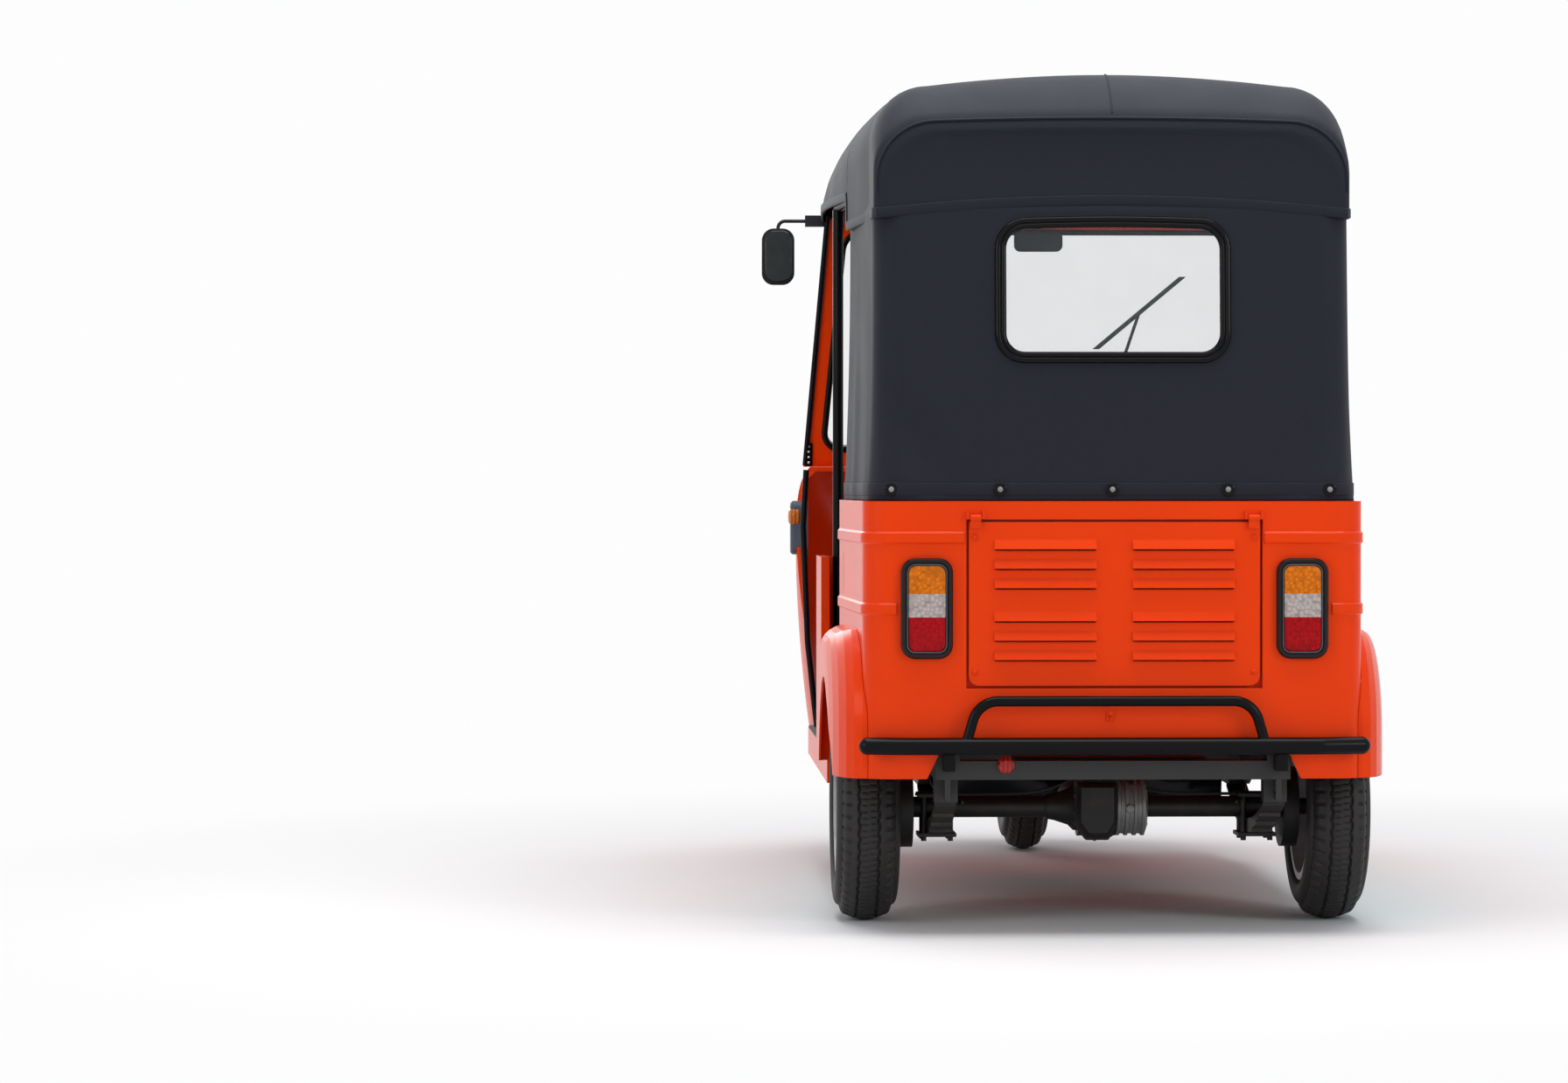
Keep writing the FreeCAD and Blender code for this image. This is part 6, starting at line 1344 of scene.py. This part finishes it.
class Trim(bpy.types.Operator):
    """Fit the cowl's mouldings, the windscreen's seal and the sill strips"""

    bl_idname = "taxi.trim"
    bl_label = "Trim"

    def execute(self, context):
        self.mouldings()
        self.screen_seal()
        self.sills()
        return {"FINISHED"}

    def mouldings(self):
        """Raised mouldings laid on the cowl: one across the nose, and one on each side lower down."""
        half_round = np.array([(0.009, -0.001), (0.0085, 0.002), (0.005, 0.0042), (0.0, 0.005),
                               (-0.005, 0.0042), (-0.0085, 0.002), (-0.009, -0.001)])

        def laid(x, height):
            starts = np.stack([x, np.full(len(x), 1.6), np.full(len(x), height)], -1)
            return pressed_on("front_cowl", starts, BACK)

        path, up = laid(np.linspace(-0.45, 0.45, 120), 0.9)
        made = [swept("moulding", path, half_round, up)]
        x = np.linspace(-0.5, 0.5, 120)
        for side in (x[x < -0.32], x[x > 0.32]):
            path, up = laid(side, 0.6)
            made.append(swept("moulding", spaced(path, 60), half_round, up.mean(0)))
        dress(joined("cowl_mouldings", made), "body", "body_paint")

    def screen_seal(self):
        """Windscreen seal: a rubber section round the glass, wider at the foot, in the screen's own plane."""
        low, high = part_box("windscreen_glass")
        tall = high.z - low.z
        loop = spaced(corners_of(1.026, tall, 0.045, 12), 240, True)
        share = loop[:, 1] / tall + 0.5
        x = loop[:, 0] * (1.046 - 0.098 * share)
        z = low.z + tall * share
        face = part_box("windscreen_frame")[1].y - 0.0143 - (z - 1.0) * 0.2088
        path = np.stack([x, face, z], -1)
        section = corners_of(0.016, 0.034, 0.005, 5)
        seal = swept("screen_seal", path, section, (0.0, 0.978, 0.208), closed=True)
        dress(seal, "body", "seal_rubber")

    def sills(self):
        """Ribbed rubber strips along the step edges of the floor."""
        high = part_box("floor_pan")[1]
        ribbed = np.array([(-0.007, 0.0), (-0.007, 0.003), (-0.004, 0.0045), (-0.002, 0.003), (0.0, 0.0045),
                           (0.002, 0.003), (0.004, 0.0045), (0.007, 0.003), (0.007, 0.0)])
        made = []
        for side in (-1, 1):
            for first, last in ((-0.595, -0.26), (0.055, 0.59)):
                y = np.linspace(first, last, 60)
                path = np.stack([np.full(60, side * (high.x - 0.008)), y, np.full(60, high.z + 0.0003)], -1)
                made.append(swept("step", path, ribbed, UP))
        dress(joined("step_strips", made), "body", "floor_rubber")


class Underside(bpy.types.Operator):
    """Fit the axle casting, its housing, the splash sheet, the brake pipe and the cables"""

    bl_idname = "taxi.underside"
    bl_label = "Underside"

    def execute(self, context):
        along = np.linspace(0, 0.064, 65)
        ribs = 0.0595 + 0.004 * (np.sin(along / 0.064 * TAU * 3.5) > 0.2)
        outline = np.vstack([[[0.0, 0.0]], np.stack([ribs, along], -1), [[0.05, 0.068], [0.0, 0.068]]])
        cover = [turned("cover", outline, (0.0425, REAR_AXLE, AXLE_HEIGHT), (1, 0, 0), 72)]
        for angle in np.arange(6) * TAU / 6:
            spot = (0.106, REAR_AXLE + 0.042 * math.cos(angle), AXLE_HEIGHT + 0.042 * math.sin(angle))
            cover += hexagon("bolt", spot, (1, 0, 0), 0.005, 0.005)
        spot = (0.07, REAR_AXLE - 0.062, AXLE_HEIGHT)
        cover.append(turned("plug", dome(0.01, 0.003, 0.01), spot, BACK, 24))
        dress(joined("axle_cover", cover), "body", "bare_casting", "cast_alloy")
        self.housing()
        self.splash_sheet()
        x = np.linspace(-0.40, 0.40, 90)
        rise = 0.03 + 0.045 * np.exp(-(x / 0.09) ** 2)
        pipe = np.stack([x, np.full(90, REAR_AXLE - 0.03), AXLE_HEIGHT + rise], -1)
        made = [swept("pipe", pipe, ring_of(0.0035, 8), UP)]
        for side in (-1, 1):
            y = np.linspace(-1.0, -0.62, 50)
            x = side * (0.30 + 0.05 * np.sin((y + 1) * 5))
            path = np.stack([x, y, 0.262 + 0.045 * ((y + 1) / 0.38) ** 2], -1)
            made.append(swept("cable", path, ring_of(0.004, 8), UP))
        dress(joined("brake_lines", made), "body", "black_plastic")
        return {"FINISHED"}

    def housing(self):
        """Differential housing: a cover behind the axle, its bolts, and a cone towards the tube."""
        corners = np.array([(0.041, 0.056), (-0.046, 0.056), (-0.046, -0.034), (-0.024, -0.064),
                            (0.022, -0.064), (0.041, -0.034)])
        loop = spaced(corners, 96, True)
        centre = np.array((0.0, REAR_AXLE - 0.045, AXLE_HEIGHT))
        made = [plate("cover", loop, 0.0, 0.035, facing(centre), 0.012),
                plate("flange", loop * 1.1, -0.02, 0.006, facing(centre), 0.002)]
        for x, z in spaced(corners * 1.02, 10, True):
            made += hexagon("bolt", centre + (x, -0.006, z), BACK, 0.0045, 0.004)
        cone = [[0.0, 0.0], [0.052, 0.0], [0.052, 0.008], [0.04, 0.02], [0.03, 0.05], [0.026, 0.07],
                [0.0, 0.07]]
        made.append(turned("cone", cone, (-0.042, REAR_AXLE, AXLE_HEIGHT), (-1, 0, 0), 48))
        dress(joined("axle_housing", made), "body", "bare_casting", sharp=math.radians(28))

    def splash_sheet(self):
        """Splash sheet: rubber hung across the floor's rear edge, waved a little, cut away over the shaft."""
        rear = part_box("floor_pan")[0].y
        x = np.linspace(-0.318, 0.318, 120)[None]
        share = np.linspace(0, 1, 30)[:, None]
        bottom = 0.24 + 0.05 * np.exp(-(x / 0.06) ** 4)
        z = 0.332 + (bottom - 0.332) * share
        y = rear + 0.012 + 0.006 * np.sin(x * 22) * share + 0.01 * share ** 2
        sheet = surface("splash_sheet", np.stack([x + 0 * share, y, z], -1))
        thicken(sheet, 0.003, 0.0)
        dress(sheet, "body", "seal_rubber")


class Cabin(bpy.types.Operator):
    """Fit the mirror faces, the dials, the controls and the mats"""

    bl_idname = "taxi.cabin"
    bl_label = "Cabin"

    def execute(self, context):
        self.mirrors()
        self.dials()
        self.grips()
        self.pedals()
        self.mats()
        return {"FINISHED"}

    def mirrors(self):
        """Mirror faces: dark glass inside each rim."""
        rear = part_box("mirrors")[0].y
        loop = spaced(corners_of(0.066, 0.126, 0.024, 8), 80, True)
        faces = [plate("face", loop, 0.0, 0.002, facing((side * MIRROR_X, rear, MIRROR_HEIGHT)), 0.001)
                 for side in (-1, 1)]
        dress(joined("mirror_faces", faces), "body", "black_plastic", "mirror_face")

    def dials(self):
        """Dial with its bezel and pointer, two warning lamps and a row of switches, facing the driver."""
        low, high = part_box("dashboard")
        centre = np.array((0.0, low.y, (low.z + high.z) / 2))
        bezel = [[0.0, 0.0], [0.046, 0.0], [0.046, 0.009], [0.042, 0.012], [0.038, 0.009], [0.038, 0.004],
                 [0.0, 0.004]]
        black = [turned("bezel", bezel, centre, BACK, 48)]
        for place in (-0.22, -0.18, 0.18, 0.22):
            black.append(plate("switch", corners_of(0.022, 0.03, 0.005, 4), 0.0, 0.009,
                               facing(centre + [place, 0, -0.01]), 0.002))
        dress(joined("dash_bezels", black), "body", "black_plastic")
        disc = [[0.0, 0.0], [0.0375, 0.0], [0.0375, 0.001], [0.0, 0.001]]
        face = [turned("face", disc, centre + [0, -0.004, 0], BACK, 48)]
        dress(joined("dial", face), "body", "grey_paint", "dial_face")
        pointer = [plate("needle", corners_of(0.003, 0.03, 0.0012, 3), 0.0055, 0.0065,
                         facing(centre + [-0.006, 0, 0.006]))]
        pointer += [turned("tell", dome(0.006, 0.003, 0.002), centre + [place, 0, 0.0], BACK, 16)
                    for place in (-0.09, 0.09)]
        dress(joined("dial_pointer", pointer), "body", "lamp_lens", "red_lens")

    def grips(self):
        """Ribbed grips: radius with small rings along the bar, between two flanges."""
        low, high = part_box("handlebar_grips")
        made = []
        for side in (-1, 1):
            inner = np.array((side * (high.x - 0.122), (low.y + high.y) / 2 + 0.022, (low.z + high.z) / 2))
            outer = np.array((side * (high.x - 0.004), (low.y + high.y) / 2 - 0.022, (low.z + high.z) / 2))
            axis = outer - inner
            length = np.linalg.norm(axis)
            along = np.linspace(0, length, 90)
            radius = 0.0148 + 0.0012 * (np.sin(along / 0.007 * TAU) > 0)
            radius[(along < 0.007) | (along > length - 0.004)] = 0.0165
            outline = np.vstack([[[0.0, 0.0]], np.stack([radius, along], -1), [[0.0, length]]])
            made.append(turned("grip", outline, inner, axis / length, 32))
        grips = dress(joined("ribbed_grips", made), "steering", "black_plastic")
        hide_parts("handlebar_grips")

    def pedals(self):
        """Foot brake: a ribbed pad on a bent arm; a hand brake lever beside the driver's seat box."""
        arm = spaced([(0.2, 0.76, FLOOR_TOP), (0.2, 0.735, FLOOR_TOP + 0.05), (0.2, 0.69, FLOOR_TOP + 0.1),
                      (0.2, 0.66, FLOOR_TOP + 0.125)], 30)
        made = [swept("arm", arm, ring_of(0.007, 10), ACROSS)]
        loop = corners_of(0.07, 0.05, 0.01, 5)
        tilt = np.array([[1, 0, 0], [0, 0.6, 0.8], [0, -0.8, 0.6]])
        hinge = np.array((0.2, 0.655, FLOOR_TOP + 0.125))
        made.append(plate("pad", loop, 0.0, 0.011, lambda points: points @ tilt + hinge, 0.003))
        lever = spaced([(0.268, 0.24, FLOOR_TOP), (0.268, 0.26, FLOOR_TOP + 0.1),
                        (0.268, 0.3, FLOOR_TOP + 0.28)], 30)
        made.append(swept("lever", lever, ring_of(0.008, 12), ACROSS))
        made.append(pod("knob", (0.268, 0.303, FLOOR_TOP + 0.3), (0.014, 0.014, 0.035), 0.8, 16))
        dress(joined("foot_controls", made), "body", "black_plastic")

    def mats(self):
        """Ribbed mats: a sheet with a row of ribs, on the driver's and the passengers' floor."""
        made = []
        for x_low, x_high, y_low, y_high in ((-0.49, 0.49, 0.3, 0.69), (-0.5, 0.5, -0.585, -0.125)):
            x = np.linspace(x_low, x_high, 240)[None]
            y = np.linspace(y_low, y_high, 24)[:, None]
            rib = 0.004 + 0.0018 * (np.sin(x / 0.016 * TAU) > 0)
            points = np.stack([x + 0 * y, y + 0 * x, FLOOR_TOP + 0.0004 + rib + 0 * y], -1)
            ends = [row * [1, 1, 0] + [0, 0, FLOOR_TOP + 0.0004] for row in (points[:1], points[-1:])]
            points = np.concatenate([ends[0], points, ends[1]])
            made.append(surface("mat", points))
        dress(joined("floor_mats", made), "body", "floor_rubber")


# Stage

STUDIO_WHITE = (0.985, 0.985, 0.988, 1)
PHOTO_WIDTH = 1792
FOCAL_PIXELS = 5460.0


class Stage(bpy.types.Operator):
    """Set the floor, the lamps and the camera"""

    bl_idname = "taxi.stage"
    bl_label = "Studio"

    def execute(self, context):
        self.floor()
        self.world()
        self.lamps()
        self.camera()
        context.scene.view_settings.view_transform = "Standard"
        return {"FINISHED"}

    def floor(self):
        """Pale floor that fades into the white background away from the vehicle; near the vehicle its colour
        turns cyan, a painted offset for the red light the body bounces onto it.
        """
        reach = np.linspace(0, 1, 24)[:, None] ** 2 * 60
        angle = np.arange(64)[None] * TAU / 64
        points = np.stack([reach * np.cos(angle), reach * np.sin(angle), 0 * reach * angle], -1)
        floor = surface("studio_floor", points, close_columns=True)
        finish = bpy.data.materials.new("Studio floor")
        finish.use_nodes = True
        tree = finish.node_tree
        tree.nodes.clear()
        moved = put(tree, "ShaderNodeVectorMath", operation="MULTIPLY_ADD")
        place = put(tree, "ShaderNodeTexCoord").outputs["Object"]
        for value, socket in zip((place, (1.0, 0.8, 1.0), (-0.1, 0.2, 0.0)), moved.inputs):
            feed(tree, value, socket)
        length = put(tree, "ShaderNodeVectorMath", operation="LENGTH")
        feed(tree, moved.outputs[0], length.inputs[0])
        away = length.outputs["Value"]
        # Painted offset for bounced light: the floor is cyan near the vehicle, where the body throws red
        # light into its shadow, and grey further out.
        near = ranged(tree, away, interpolation_type="SMOOTHSTEP", From_Min=0.35, From_Max=1.05)
        fade = ranged(tree, away, interpolation_type="SMOOTHSTEP", From_Min=1.1, From_Max=3.4)
        matt = put(tree, "ShaderNodeBsdfDiffuse")
        feed(tree, blend(tree, near, (0.8, 0.95, 0.955), (0.86, 0.86, 0.86)), matt.inputs["Color"])
        glow = put(tree, "ShaderNodeEmission", Color=STUDIO_WHITE, Strength=1.0)
        seen = maths(tree, "MULTIPLY", fade, self.looked_at(tree))
        self.mixed(tree, "ShaderNodeOutputMaterial", seen, matt, glow)
        floor.data.materials.append(finish)

    def looked_at(self, tree):
        """One for rays from the camera, in gloss and through glass."""
        rays = put(tree, "ShaderNodeLightPath").outputs
        seen = maths(tree, "MAXIMUM", rays["Is Camera Ray"], rays["Is Transmission Ray"])
        return maths(tree, "MAXIMUM", seen, rays["Is Glossy Ray"])

    def mixed(self, tree, output, factor, first, second):
        """Send a mix of two shaders to the output."""
        mix = put(tree, "ShaderNodeMixShader")
        for value, socket in zip((factor, first.outputs[0], second.outputs[0]), mix.inputs):
            feed(tree, value, socket)
        feed(tree, mix.outputs[0], put(tree, output).inputs[0])

    def world(self):
        """White to the camera, in gloss and through glass; a soft sky for the rest."""
        world = bpy.data.worlds.new("Studio")
        bpy.context.scene.world = world
        world.use_nodes = True
        tree = world.node_tree
        tree.nodes.clear()
        soft = put(tree, "ShaderNodeBackground", Color=(0.93, 0.95, 1.0, 1), Strength=0.42)
        white = put(tree, "ShaderNodeBackground", Color=STUDIO_WHITE, Strength=1.0)
        self.mixed(tree, "ShaderNodeOutputWorld", self.looked_at(tree), soft, white)

    def lamps(self):
        """Soft boxes: a large one overhead, one on each side behind the camera, one in front."""
        plans = (
            ("Overhead", (0.0, -0.9, 4.8), (0.0, -0.3, 0.0), 4.0, 230.0),
            ("Rear right", (5.0, -6.5, 3.2), (0.0, -0.6, 0.9), 2.2, 110.0),
            ("Rear left", (-5.5, -4.5, 2.6), (0.0, -0.6, 0.9), 2.5, 62.0),
            ("Front", (-2.5, 6.5, 3.0), (0.0, 0.6, 0.8), 3.0, 80.0),
        )
        for name, place, aim, size, power in plans:
            light = bpy.data.lights.new(name, "AREA")
            light.shape = "SQUARE"
            light.size = size
            light.energy = power
            lamp = bpy.data.objects.new(name, light)
            lamp.location = place
            lamp.rotation_euler = (Vector(aim) - Vector(place)).to_track_quat("-Z", "Y").to_euler()
            bpy.context.scene.collection.objects.link(lamp)

    def camera(self):
        """Camera level with the rear window's foot, well behind and left of the middle, with a long lens."""
        lens = bpy.data.cameras.new("Photo")
        lens.sensor_width = 36.0
        lens.lens = FOCAL_PIXELS / PHOTO_WIDTH * lens.sensor_width
        lens.clip_end = 200.0
        eye = bpy.data.objects.new("Photo", lens)
        eye.location = (-1.010, REAR_AXLE - 10.5, 0.9615)
        aim = Vector((168 / FOCAL_PIXELS, 1.0, -68 / FOCAL_PIXELS))
        eye.rotation_euler = aim.to_track_quat("-Z", "Y").to_euler()
        bpy.context.scene.collection.objects.link(eye)
        bpy.context.scene.camera = eye


OPERATORS = (PaintFrame, Canopy, Curtain, RearWindow, Seats, Tyres, Lamps, Fastenings, Trim, Underside,
             Cabin, Stage)


class Workshop(bpy.types.Panel):
    """Lists the steps that dress the taxi."""

    bl_idname = "TAXI_PT_workshop"
    bl_label = "Taxi workshop"
    bl_space_type = "VIEW_3D"
    bl_region_type = "UI"
    bl_category = "Taxi"

    def draw(self, context):
        for step in OPERATORS:
            self.layout.operator(step.bl_idname)
        for group in (context.scene.taxi_sizes, context.scene.taxi_colours):
            for name in group.__annotations__:
                self.layout.prop(group, name)


CLASSES = (TaxiSizes, TaxiColours) + OPERATORS + (Workshop,)


def register():
    """Add the operators, the panel and the settings."""
    for item in CLASSES:
        bpy.utils.register_class(item)
    bpy.types.Scene.taxi_sizes = PointerProperty(type=TaxiSizes)
    bpy.types.Scene.taxi_colours = PointerProperty(type=TaxiColours)


def unregister():
    """Take them away again."""
    del bpy.types.Scene.taxi_sizes
    del bpy.types.Scene.taxi_colours
    for item in reversed(CLASSES):
        bpy.utils.unregister_class(item)


def main():
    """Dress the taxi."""
    register()
    for step in OPERATORS:
        family, action = step.bl_idname.split(".")
        getattr(getattr(bpy.ops, family), action)()


if __name__ == "__main__":
    main()
